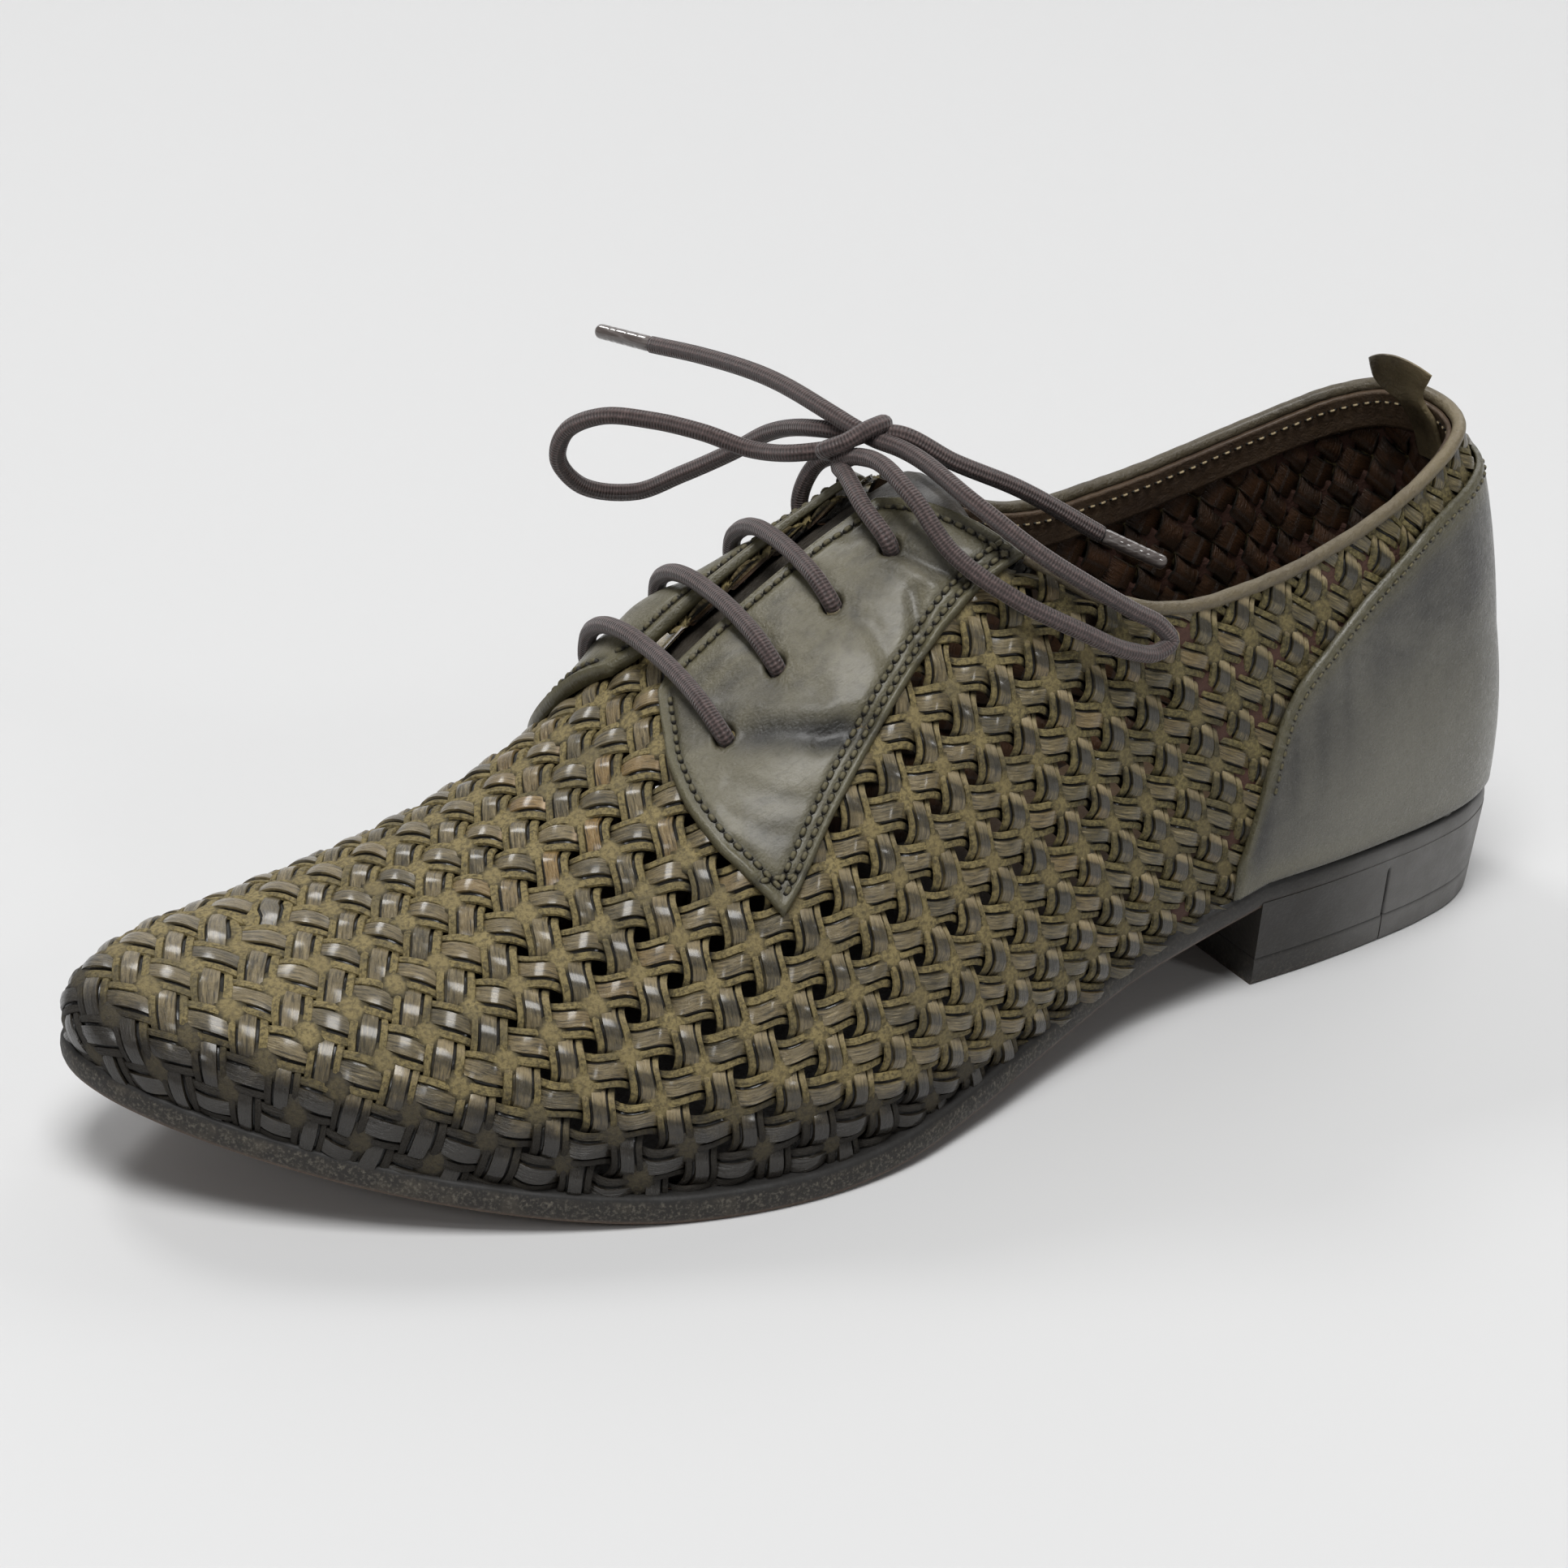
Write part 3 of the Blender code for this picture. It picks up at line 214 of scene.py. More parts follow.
# Studio, in metres and watts
STUDIO_LIGHTS = (      # name, place, size, power
    ("key_light", (0.40, 0.70, 2.8), 1.3, 73.0),
    ("front_light", (2.2, 0.9, 1.5), 0.5, 7.0),
    ("side_light", (-0.95, 2.0, 1.35), 0.3, 5.0),
    ("rim_light", (0.20, -1.7, 1.9), 0.6, 14.0),
    ("back_light", (-1.8, -1.0, 1.6), 1.2, 12.0),
)
STUDIO_AIR, STUDIO_AIR_STRENGTH = (0.97, 0.98, 1.0, 1), 0.12
FLOOR_NEAR, FLOOR_HALF_WIDTH = -4.0, 5.0
SWEEP_START, SWEEP_RADIUS, SWEEP_TOP, SWEEP_STEPS = 1.2, 0.8, 4.0, 14

# Tones that the finishes mix in, as linear light
GROUND_PALE = (0.34, 0.275, 0.12)
GROUND_DARK = (0.060, 0.048, 0.022)
GROUND_PATCH = (0.075, 0.064, 0.036)
STRIP_DULL = (0.088, 0.072, 0.040)
STRIP_QUARTER = (0.098, 0.079, 0.032)
# Painted shade where a strip dips under its neighbours
STRIP_DIP_SHADE = (0.010, 0.008, 0.0045)
STRIP_SMUDGE = (0.046, 0.040, 0.026)
STREAK_DARK = (0.026, 0.022, 0.014)
STREAK_PALE = (0.38, 0.305, 0.170)
# Painted highlight on the upper ends of the floats on the shoe's sides
FLOAT_HEAD_HIGHLIGHT = (0.42, 0.335, 0.195)
# Painted shade in the middle of the side floats
FLOAT_HEART_SHADE = (0.024, 0.021, 0.014)
# Pale bent ends of the vamp's wide floats: painted sheen and wear
FLOAT_TIP_SHEEN_AND_WEAR = (0.66, 0.49, 0.32)
# Painted shade, near black, in the folds of the strips
FOLD_SHADE = (0.004, 0.0035, 0.0025)
INSIDE_WARM = (0.075, 0.034, 0.015)
FILLING_TAN = (0.17, 0.13, 0.055)
FILLING_RIM_SHADE = (0.026, 0.021, 0.010)
LINING_REDS = ((0.085, 0.034, 0.021), (0.046, 0.020, 0.013))
FACING_DARK, FACING_EDGE = (0.060, 0.054, 0.038), (0.105, 0.092, 0.044)
COUNTER_DARK, COUNTER_EDGE = (0.034, 0.032, 0.027), (0.105, 0.094, 0.050)
BINDING_DARK = (0.085, 0.065, 0.038)
LINING_DARK = (0.055, 0.032, 0.018)
SOCK_DARK = (0.045, 0.028, 0.017)
TONGUE_TONE, TONGUE_DARK = (0.05, 0.04, 0.028), (0.022, 0.018, 0.013)
TAB_TONE, TAB_DARK = (0.135, 0.106, 0.058), (0.062, 0.047, 0.026)
SOLE_DUST = (0.062, 0.053, 0.041)
SOLE_GRIT = (0.15, 0.135, 0.105)
SOLE_SEAM = (0.008, 0.007, 0.006)
TREAD_DIRT = (0.055, 0.036, 0.024)
HEEL_SHEEN_GREYS = ((0.185, 0.180, 0.172), (0.120, 0.115, 0.106))
LACE_WORN = (0.128, 0.087, 0.081)
LACE_GROOVE_SHADE = (0.022, 0.015, 0.014)
THREAD_DIP_SHADE = (0.012, 0.010, 0.007)
AGLET_TONES = ((0.095, 0.078, 0.072), (0.19, 0.17, 0.16))

sole_low, sole_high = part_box("outsole")
SHIFT = np.array([sole_low.x, (sole_low.y + sole_high.y) / 2 - SOLE_MIDDLE_Y * MM, 0.0])


def table(rows, column, x):
    """Smooth monotone curve through one column of a table, read at x."""
    rows = np.asarray(rows, float)
    xs, ys = rows[:, 0], rows[:, column]
    x = np.clip(np.asarray(x, float), xs[0], xs[-1])
    step = np.diff(xs)
    slope = np.diff(ys) / step
    tangent = np.zeros_like(ys)
    tangent[0], tangent[-1] = slope[0], slope[-1]
    for k in range(1, len(xs) - 1):
        if slope[k - 1] * slope[k] > 0:
            before, after = 2 * step[k] + step[k - 1], step[k] + 2 * step[k - 1]
            tangent[k] = (before + after) / (before / slope[k - 1] + after / slope[k])
    k = np.clip(np.searchsorted(xs, x, side="right") - 1, 0, len(step) - 1)
    t = (x - xs[k]) / step[k]
    return ((2 * t**3 - 3 * t**2 + 1) * ys[k] + (t**3 - 2 * t**2 + t) * step[k] * tangent[k]
            + (3 * t**2 - 2 * t**3) * ys[k + 1] + (t**3 - t**2) * step[k] * tangent[k + 1])


def smooth_path(points, per_span=6, closed=False):
    """Smooth curve through 2-D or 3-D points."""
    p = np.asarray(points, float)
    n = len(p)
    spans = n if closed else n - 1
    out = []
    for k in range(spans):
        p1, p2 = p[k], p[(k + 1) % n]
        p0 = p[k - 1] if closed or k else p1
        p3 = p[(k + 2) % n] if closed or k + 2 < n else p2
        d0, d1, d2 = (max(np.linalg.norm(v), 1e-6) for v in (p1 - p0, p2 - p1, p3 - p2))
        t1 = ((p1 - p0) / d0 * d1 + (p2 - p1) / d1 * d0) / (d0 + d1) if d0 > 1e-5 else (p2 - p1) / d1
        t2 = ((p2 - p1) / d1 * d2 + (p3 - p2) / d2 * d1) / (d1 + d2) if d2 > 1e-5 else (p2 - p1) / d1
        for t in np.arange(per_span) / per_span:
            out.append((2 * t**3 - 3 * t**2 + 1) * p1 + (t**3 - 2 * t**2 + t) * d1 * t1
                       + (3 * t**2 - 2 * t**3) * p2 + (t**3 - t**2) * d1 * t2)
    if not closed:
        out.append(p[-1])
    return np.array(out)


def ease(low, high, x):
    """0 before low, 1 after high, smooth between."""
    t = np.clip((np.asarray(x, float) - low) / (high - low), 0, 1)
    return t * t * (3 - 2 * t)


def arc_lengths(path):
    """Distance along a path at each of its points."""
    return np.concatenate([[0], np.cumsum(np.linalg.norm(np.diff(path, axis=0), axis=1))])


def points_at(path, at):
    """Points of a path at given distances along it."""
    arc = arc_lengths(path)
    return np.stack([np.interp(at, arc, path[:, c]) for c in range(path.shape[1])], -1)


def resample(path, step):
    """Points at even distances along a path."""
    full = arc_lengths(path)[-1]
    return points_at(path, np.linspace(0, full, max(2, int(round(full / step)) + 1)))


def unit(vectors):
    """Vectors brought to length 1."""
    return vectors / np.maximum(np.linalg.norm(vectors, axis=-1, keepdims=True), 1e-9)


def bell(distance, width):
    """1 at no distance, falling off smoothly over a width."""
    return np.exp(-(distance / width) ** 2)


def spot(a, b, middle_a, middle_b, reach_a, reach_b):
    """1 at one place of a chart, falling off smoothly over a reach along and across."""
    return np.exp(-((a - middle_a) / reach_a) ** 2 - ((b - middle_b) / reach_b) ** 2)


def sole_underside(x):
    """Height of the sole's underside: a flat tread, the arch behind it and the toe spring before it."""
    x = np.asarray(x, float)
    arch = np.clip((TREAD_X[0] - x) / (TREAD_X[0] - BREAST_X), 0, 1) ** ARCH_POWER
    spring = np.clip((x - TREAD_X[1]) / (SOLE_LENGTH - TREAD_X[1]), 0, 2) ** SPRING_POWER
    return HEEL_HEIGHT * arch + TOE_SPRING * spring


def sole_top(x):
    """Height of the sole's upper face."""
    return sole_underside(x) + SOLE_THICK


def sole_loop():
    """The sole's edge as a dense closed loop, from the heel round the lateral side."""
    rows = np.asarray(SOLE_PLAN, float)
    lateral, medial = rows[:, [0, 1]], rows[::-1][1:-1][:, [0, 2]]
    return smooth_path(np.vstack([lateral, medial]), per_span=12, closed=True)


EDGE = sole_loop()


def edge_distance(origin, direction):
    """Distance from a point inside the sole's outline to its edge, along a plan direction."""
    ahead = np.roll(EDGE, -1, axis=0) - EDGE
    away = EDGE - origin
    den = direction[0] * ahead[:, 1] - direction[1] * ahead[:, 0]
    den = np.where(np.abs(den) < 1e-9, 1e-9, den)
    reach = (away[:, 0] * ahead[:, 1] - away[:, 1] * ahead[:, 0]) / den
    along = (away[:, 0] * direction[1] - away[:, 1] * direction[0]) / den
    return reach[(along >= 0) & (along < 1) & (reach > 0)].max()


def last_profile(side, axis_x, direction, angle=None):
    """Points of the last from its crown down to the sole line and a little below it."""
    outer = side == LATERAL
    fullness = table(LAST, FULL_LATERAL if outer else FULL_MEDIAL, axis_x)
    fullness_up = table(LAST, FULL_UP, axis_x)
    belly = table(LAST, BELLY, axis_x)
    crown = float(table(LAST, CROWN_Z, axis_x))
    slope = 0.0
    if angle is not None and axis_x >= TOE_AXIS_X:
        tip = np.cos(angle) ** 2
        fullness = fullness * (1 - tip) + TIP_FULLNESS[0] * tip
        fullness_up = fullness_up * (1 - tip) + TIP_FULLNESS[1] * tip
        slope = TOE_SLOPE
    if angle is not None and axis_x <= HEEL_AXIS_X:
        belly = HEEL_BELLY + (belly - HEEL_BELLY) * np.sin(angle)
    origin = np.array([axis_x, float(table(LAST, CROWN_Y, axis_x))])
    inset = float(table(LAST, INSET_LATERAL if outer else INSET_MEDIAL, axis_x))
    reach = edge_distance(origin, direction) - inset
    turn = np.linspace(np.pi / 2, 0, PROFILE_STEPS)
    out = reach * np.cos(turn) ** (2 / fullness)
    foot = float(sole_top(origin[0] + direction[0] * reach))
    z = foot + (crown + slope * direction[0] * out - foot) * np.sin(turn) ** (2 / fullness_up)
    out = out + belly * np.sin(np.pi * np.clip((z - foot) / BELLY_HEIGHT, 0, 1))
    out = np.append(out, [out[-1]] * SKIRT_STEPS)
    z = np.append(z, foot - SKIRT * np.arange(1, SKIRT_STEPS + 1) / SKIRT_STEPS)
    return np.stack([origin[0] + direction[0] * out, origin[1] + direction[1] * out, z], -1)


class Last:
    """The last as a chart: length along the shoe, and girth from the crown (lateral positive)."""
    HEEL_STEPS, BODY_STEPS, TOE_STEPS, GIRTH_STEPS = 30, 150, 36, 90
    SEARCH_STEPS = 700

    def __init__(self):
        self.heel_start = HEEL_AXIS_X - HEEL_WRAP * np.pi / 2
        self.grid, self.girth = {}, {}
        for side in (LATERAL, MEDIAL):
            rows = []
            for angle in np.linspace(0, np.pi / 2, self.HEEL_STEPS, endpoint=False):
                rows.append(last_profile(side, HEEL_AXIS_X, (-np.cos(angle), side * np.sin(angle)), angle))
            for x in np.linspace(HEEL_AXIS_X, TOE_AXIS_X, self.BODY_STEPS, endpoint=False):
                rows.append(last_profile(side, x, (0.0, float(side))))
            for angle in np.linspace(np.pi / 2, 0, self.TOE_STEPS + 1):
                rows.append(last_profile(side, TOE_AXIS_X, (np.cos(angle), side * np.sin(angle)), angle))
            lengths = [arc_lengths(row)[-1] for row in rows]
            even = []
            for row, full in zip(rows, lengths):
                even.append(points_at(row, np.linspace(0, full, self.GIRTH_STEPS + 1)))
            self.grid[side], self.girth[side] = np.array(even), np.array(lengths)

    def station(self, a, b):
        """Row of the grid and girth for chart points."""
        past = np.maximum(a - TOE_AXIS_X, 0)
        girth = np.where(a > TOE_AXIS_X, np.hypot(past, b), np.abs(b))
        angle = np.arctan2(np.abs(b), past)
        toe = self.HEEL_STEPS + self.BODY_STEPS + (1 - angle / (np.pi / 2)) * self.TOE_STEPS
        body = self.HEEL_STEPS + (a - HEEL_AXIS_X) / (TOE_AXIS_X - HEEL_AXIS_X) * self.BODY_STEPS
        heel = self.HEEL_STEPS * (a - self.heel_start) / (HEEL_AXIS_X - self.heel_start)
        row = np.where(a > TOE_AXIS_X, toe, np.where(a >= HEEL_AXIS_X, body, heel))
        last_row = self.HEEL_STEPS + self.BODY_STEPS + self.TOE_STEPS
        return np.clip(row, 0, last_row - 1e-6), girth

    def foot_girth(self, a, b):
        """Girth at which the sole line is met, for chart points."""
        row, _ = self.station(a, b)
        steps = np.arange(len(self.girth[LATERAL]))
        full = np.where(b >= 0, np.interp(row, steps, self.girth[LATERAL]),
                        np.interp(row, steps, self.girth[MEDIAL]))
        return full - SKIRT

    def full_girth(self, a, side):
        """Girth at the sole line, for one chart length and side."""
        return float(self.foot_girth(np.array(a), np.array(float(side))))

    def point(self, a, b):
        """Points of the last for chart points."""
        a, b = np.broadcast_arrays(np.asarray(a, float), np.asarray(b, float))
        row, girth = self.station(a, b)
        out = np.zeros(a.shape + (3,))
        for side in (LATERAL, MEDIAL):
            mine = b >= 0 if side == LATERAL else b < 0
            full = np.interp(row, np.arange(len(self.girth[side])), self.girth[side])
            col = np.clip(girth / full * self.GIRTH_STEPS, 0, self.GIRTH_STEPS - 1e-6)
            i, j = row.astype(int), col.astype(int)
            u, v = (row - i)[..., None], (col - j)[..., None]
            g = self.grid[side]
            value = ((g[i, j] * (1 - u) + g[i + 1, j] * u) * (1 - v)
                     + (g[i, j + 1] * (1 - u) + g[i + 1, j + 1] * u) * v)
            out[mine] = value[mine]
        return out

    def normal(self, a, b, step=1.6):
        """Outward directions of the last for chart points."""
        a, b = np.broadcast_arrays(np.asarray(a, float), np.asarray(b, float))
        low = np.maximum(a - step, self.heel_start)
        along = self.point(a + step, b) - self.point(low, b)
        side = np.where(b >= 0, 1.0, -1.0)
        across = (self.point(a, b + side * step) - self.point(a, side * np.maximum(np.abs(b) - step, 0)))
        across = across * side[..., None]
        return unit(np.cross(along, across))

    def lifted(self, a, b, lift):
        """Chart points raised off the last."""
        lift = np.asarray(lift, float)
        return self.point(a, b) + self.normal(a, b) * lift[..., None]

    def girth_below(self, a, side, height_at):
        """First girth, going down from the crown, where the last is at or below a height given over x."""
        b = np.linspace(0, self.full_girth(a, side), self.SEARCH_STEPS)
        x, _, z = self.point(np.full_like(b, a), side * b).T
        below = np.nonzero(z <= height_at(x))[0]
        return b[below[0]] if len(below) else b[-1]


last = Last()


def collar_height(x):
    """Height of the wall's top edge."""
    return table(COLLAR, 1, x)


def to_frame(points):
    """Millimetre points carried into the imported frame, in metres."""
    return np.asarray(points, float) * MM + SHIFT


def noise(*parts):
    """Repeatable number from 0 to 1 for whole-number labels."""
    value = sum(np.asarray(p, float) * k for p, k in zip(parts, (12.9898, 78.233, 37.719, 9.131)))
    return np.modf(np.abs(np.sin(value) * 43758.5453))[0]


def make_piece(name, points, faces, finish, slot=None, replaces=(), layers=None, sharp=None):
    """Mesh piece from millimetre points, with its attributes, riding on the shoe."""
    mesh = bpy.data.meshes.new(name)
    mesh.from_pydata(to_frame(points).tolist(), [], [list(map(int, f)) for f in faces])
    for key, values in (layers or {}).items():
        layer = mesh.attributes.new(key, "FLOAT", "POINT")
        layer.data.foreach_set("value", np.asarray(values, np.float32).ravel())
    work = bmesh.new()
    work.from_mesh(mesh)
    bmesh.ops.dissolve_degenerate(work, dist=SHORTEST_EDGE, edges=work.edges)
    bmesh.ops.recalc_face_normals(work, faces=work.faces)
    work.to_mesh(mesh)
    work.free()
    mesh.materials.append(finish)
    mesh.shade_smooth()
    if sharp:
        mesh.set_sharp_from_angle(angle=sharp)
    piece = bpy.data.objects.new(name, mesh)
    bpy.context.scene.collection.objects.link(piece)
    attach(piece, "root")
    if replaces:
        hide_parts(*replaces)
    return piece


class Build:
    """Collects points, faces and point values of one joined mesh."""

    def __init__(self, *layers):
        self.points, self.faces, self.layers, self.count = [], [], {key: [] for key in layers}, 0

    def add(self, points, faces, **values):
        """Adds points and faces, with one value or a value a point for each layer."""
        points = np.asarray(points, float).reshape(-1, 3)
        self.points.append(points)
        self.faces += [[k + self.count for k in f] for f in faces]
        for key, store in self.layers.items():
            store.append(np.broadcast_to(np.asarray(values.get(key, 0.0), float).ravel(), (len(points),)))
        self.count += len(points)

    def piece(self, name, finish, **more):
        """The collected mesh as one piece."""
        layers = {key: np.concatenate(store) for key, store in self.layers.items()}
        return make_piece(name, np.concatenate(self.points), self.faces, finish, layers=layers, **more)


def grid_faces(rows, cols, wrap=False):
    """Quads of a grid of points, closed round its columns where asked."""
    faces = []
    for i in range(rows - 1):
        for j in range(cols if wrap else cols - 1):
            k = (j + 1) % cols
            faces.append([i * cols + j, (i + 1) * cols + j, (i + 1) * cols + k, i * cols + k])
    return faces


def capped_faces(rings, sides):
    """Quads of a closed tube of rings, with its two end faces."""
    ends = [list(range(sides))[::-1], [(rings - 1) * sides + k for k in range(sides)]]
    return grid_faces(rings, sides, wrap=True) + ends


def sheet_solid(outer, inner):
    """Closed solid between two grids of points of the same shape."""
    rows, cols = outer.shape[:2]
    half = rows * cols
    faces = grid_faces(rows, cols)
    faces += [[half + k for k in reversed(f)] for f in grid_faces(rows, cols)]
    rim = ([(i, 0) for i in range(rows)] + [(rows - 1, j) for j in range(1, cols)]
           + [(i, cols - 1) for i in range(rows - 2, -1, -1)] + [(0, j) for j in range(cols - 2, 0, -1)])
    ring = [i * cols + j for i, j in rim]
    for k, start in enumerate(ring):
        end = ring[(k + 1) % len(ring)]
        faces.append([end, start, half + start, half + end])
    return np.concatenate([outer.reshape(-1, 3), inner.reshape(-1, 3)]), faces


TUBE_START = (0.31, 0.17, 0.93)    # any direction that no cord starts along


def tube(path, radius, sides):
    """Round tube along a path: points, faces, and place along and around for each point."""
    path = np.asarray(path, float)
    forward = unit(np.gradient(path, axis=0))
    side = np.cross(forward[0], TUBE_START)
    arc = arc_lengths(path)
    turn = np.arange(sides) * 2 * np.pi / sides
    radius = np.broadcast_to(np.asarray(radius, float), (len(path),))
    points = []
    for place, ahead, reach in zip(path, forward, radius):
        side = side - ahead * (side @ ahead)
        side = side / np.linalg.norm(side)
        up = np.cross(ahead, side)
        points.append(place + reach * (np.cos(turn)[:, None] * side + np.sin(turn)[:, None] * up))
    around = np.tile(turn, len(path))
    return np.concatenate(points), capped_faces(len(path), sides), np.repeat(arc, sides), around


def line_distance(a, b, path):
    """Distance of chart points to a broken line on the chart."""
    best = np.full(np.shape(a), 1e9)
    for (a0, b0), (a1, b1) in zip(path[:-1], path[1:]):
        da, db = a1 - a0, b1 - b0
        t = np.clip(((a - a0) * da + (b - b0) * db) / max(da * da + db * db, 1e-9), 0, 1)
        best = np.minimum(best, np.hypot(a - a0 - t * da, b - b0 - t * db))
    return best


LABEL_SPREAD = 91.0    # keeps the streaks of two floats apart


class Finish:
    """Node graph of one leather, cord or stage material."""

    def __init__(self, name):
        self.material = bpy.data.materials.new(name)
        self.material.use_nodes = True
        self.tree = self.material.node_tree
        self.shader = self.tree.nodes["Principled BSDF"]
        self.place = self.node("ShaderNodeTexCoord").outputs["Object"]
        self.relief = None

    def feed(self, socket, value):
        """Links a socket to another one, or sets its value."""
        if isinstance(value, bpy.types.NodeSocket):
            self.tree.links.new(value, socket)
        elif socket.type == "RGBA" and len(value) == 3:
            socket.default_value = (*value, 1)
        else:
            socket.default_value = value

    def node(self, kind, inputs=None, **settings):
        """New node with its settings, and its inputs fed by name or number."""
        made = self.tree.nodes.new(kind)
        for key, value in settings.items():
            setattr(made, key, value)
        for key, value in (inputs or {}).items():
            self.feed(made.inputs[key], value)
        return made

    def layer(self, key):
        """Point value of the mesh."""
        return self.node("ShaderNodeAttribute", attribute_name=key).outputs["Fac"]

    def noise_at(self, place, scale, detail, roughness, distortion=0.0):
        """Soft noise read at a place."""
        inputs = {"Vector": place, "Scale": scale, "Detail": detail, "Roughness": roughness,
                  "Distortion": distortion}
        return self.node("ShaderNodeTexNoise", inputs).outputs["Fac"]

    def cloud(self, scale, detail=4.0, roughness=0.55, stretch=None, distortion=0.0):
        """Soft noise over the piece; scale is in features per metre."""
        place = self.place
        if stretch:
            place = self.node("ShaderNodeMapping", {"Scale": stretch, "Vector": place}).outputs["Vector"]
        return self.noise_at(place, scale, detail, roughness, distortion)

    def streaks(self, along, across, detail=4.0, label=None):
        """Noise on the piece's own length and width, drawn out by the two scales per millimetre."""
        inputs = {0: self.math("MULTIPLY", self.layer("along"), along),
                  1: self.math("MULTIPLY", self.layer("across"), across)}
        if label:
            inputs[2] = self.math("MULTIPLY", self.layer(label), LABEL_SPREAD)
        return self.noise_at(self.node("ShaderNodeCombineXYZ", inputs).outputs[0], 1.0, detail, 0.62)

    def pores(self, scale):
        """Distance to the middle of the nearest pore; scale is in pores per metre."""
        inputs = {"Vector": self.place, "Scale": scale}
        return self.node("ShaderNodeTexVoronoi", inputs, feature="F1").outputs["Distance"]

    def span(self, value, low, high, start=0.0, end=1.0):
        """Value mapped from one range to another and clipped."""
        inputs = {"Value": value, "From Min": low, "From Max": high, "To Min": start, "To Max": end}
        made = self.node("ShaderNodeMapRange", inputs, clamp=True, interpolation_type="SMOOTHSTEP")
        return made.outputs["Result"]

    def math(self, operation, first, second=0.0):
        """One step of arithmetic."""
        return self.node("ShaderNodeMath", {0: first, 1: second}, operation=operation).outputs[0]

    def mix(self, share, first, second):
        """Colour between two others, by the share of the second."""
        return self.node("ShaderNodeMix", {0: share, 6: first, 7: second}, data_type="RGBA").outputs[2]

    def bump(self, height, distance, strength=1.0):
        """Adds a layer of relief; distance is in millimetres."""
        inputs = {"Strength": strength, "Distance": distance * MM, "Height": height}
        if self.relief:
            inputs["Normal"] = self.relief
        self.relief = self.node("ShaderNodeBump", inputs).outputs["Normal"]

    def done(self, colour, roughness, **sockets):
        """Feeds the shader and gives the material."""
        inputs = {"Base Color": colour, "Roughness": roughness}
        inputs.update({key.replace("_", " "): value for key, value in sockets.items()})
        if self.relief:
            inputs["Normal"] = self.relief
        for key, value in inputs.items():
            self.feed(self.shader.inputs[key], value)
        return self.material


def colour_property(name, description, default):
    """Colour that a user may change, as linear light."""
    return bpy.props.FloatVectorProperty(name=name, description=description, default=default,
                                         subtype="COLOR", size=3, min=0.0, max=1.0)


def size_property(name, description, default, low=0.0, high=50.0):
    """Length that a user may change, given here in millimetres and held in metres."""
    return bpy.props.FloatProperty(name=name, description=description, default=default * MM, min=low * MM,
                                   max=high * MM, precision=5, subtype="DISTANCE", unit="LENGTH")


class ShoeSizes(bpy.types.PropertyGroup):
    """Sizes of the shoe's finish."""
    strip_narrow: size_property("Narrow strip", "Width of the strips that run down towards the toe", 5.9)
    strip_wide: size_property("Wide strip", "Width of the strips that run up towards the toe", 6.1)
    strip_wave: size_property("Wave", "How far a strip rises and dips from the middle of the wall", 1.2)
    strip_level: size_property("Level", "Middle of the woven wall, from the last surface", -0.45, -5.0, 5.0)
    gap_shift: size_property("Gap shift", "Sideways shift of the strips that opens the gaps", 0.92)
    facing_lift: size_property("Facing seat", "Underside of the facings, from the last surface", 1.1)
    facing_thick: size_property("Facing leather", "Thickness of the facings", 1.25)
    counter_lift: size_property("Counter seat", "Underside of the heel counter, from the last surface", 1.2)
    counter_thick: size_property("Counter leather", "Thickness of the heel counter", 1.3)
    binding_radius: size_property("Binding", "Radius of the rolled collar edge", 1.35)
    lace_radius: size_property("Lace", "Radius of the round lace", 1.65)
    stitch_length: size_property("Stitch", "Length of one stitch", 1.65)


class ShoeColours(bpy.types.PropertyGroup):
    """Colours of the shoe's finish, as linear light."""
    strip_top: colour_property("Strip", "Raised panel of the woven strips", (0.172, 0.134, 0.068))
    strip_recess: colour_property("Ground", "Rough side bands and fillings", (0.212, 0.164, 0.066))
    strip_olive: colour_property("Olive ground", "The same leather on the quarter", (0.108, 0.088, 0.030))
    strip_rust: colour_property("Rust", "Warm tone of single strips", (0.25, 0.158, 0.058))
    burnish: colour_property("Burnish", "Dark burnished toe and lower edge", (0.017, 0.0135, 0.009))
    inside: colour_property("Inside", "Inner face of the weave", (0.033, 0.0175, 0.0085))
    smooth: colour_property("Smooth leather", "Facings", (0.140, 0.126, 0.082))
    counter: colour_property("Counter", "Heel counter", (0.098, 0.093, 0.074))
    binding: colour_property("Binding", "Rolled collar edge", (0.138, 0.110, 0.062))
    lining: colour_property("Lining", "Lining band, tongue and sock", (0.085, 0.052, 0.027))
    sole: colour_property("Sole edge", "Edge of sole and heel", (0.017, 0.0145, 0.012))
    tread: colour_property("Tread", "Worn underside of the sole", (0.14, 0.085, 0.05))
    lace: colour_property("Lace", "Waxed cord", (0.064, 0.041, 0.038))
    thread: colour_property("Thread", "Stitches on the facings", (0.125, 0.108, 0.056))
    thread_pale: colour_property("Pale thread", "Stitches inside the collar", (0.42, 0.33, 0.19))
    floor: colour_property("Floor", "Pale studio floor", (0.635, 0.635, 0.635))


def size(name):
    """Size of the finish, in millimetres."""
    return getattr(bpy.context.scene.shoe_sizes, name) / MM


def tone(name):
    """Colour of the finish."""
    return tuple(getattr(bpy.context.scene.shoe_colours, name))


def scaled(colour, share):
    """Colour made lighter or darker."""
    return tuple(share * c for c in colour)


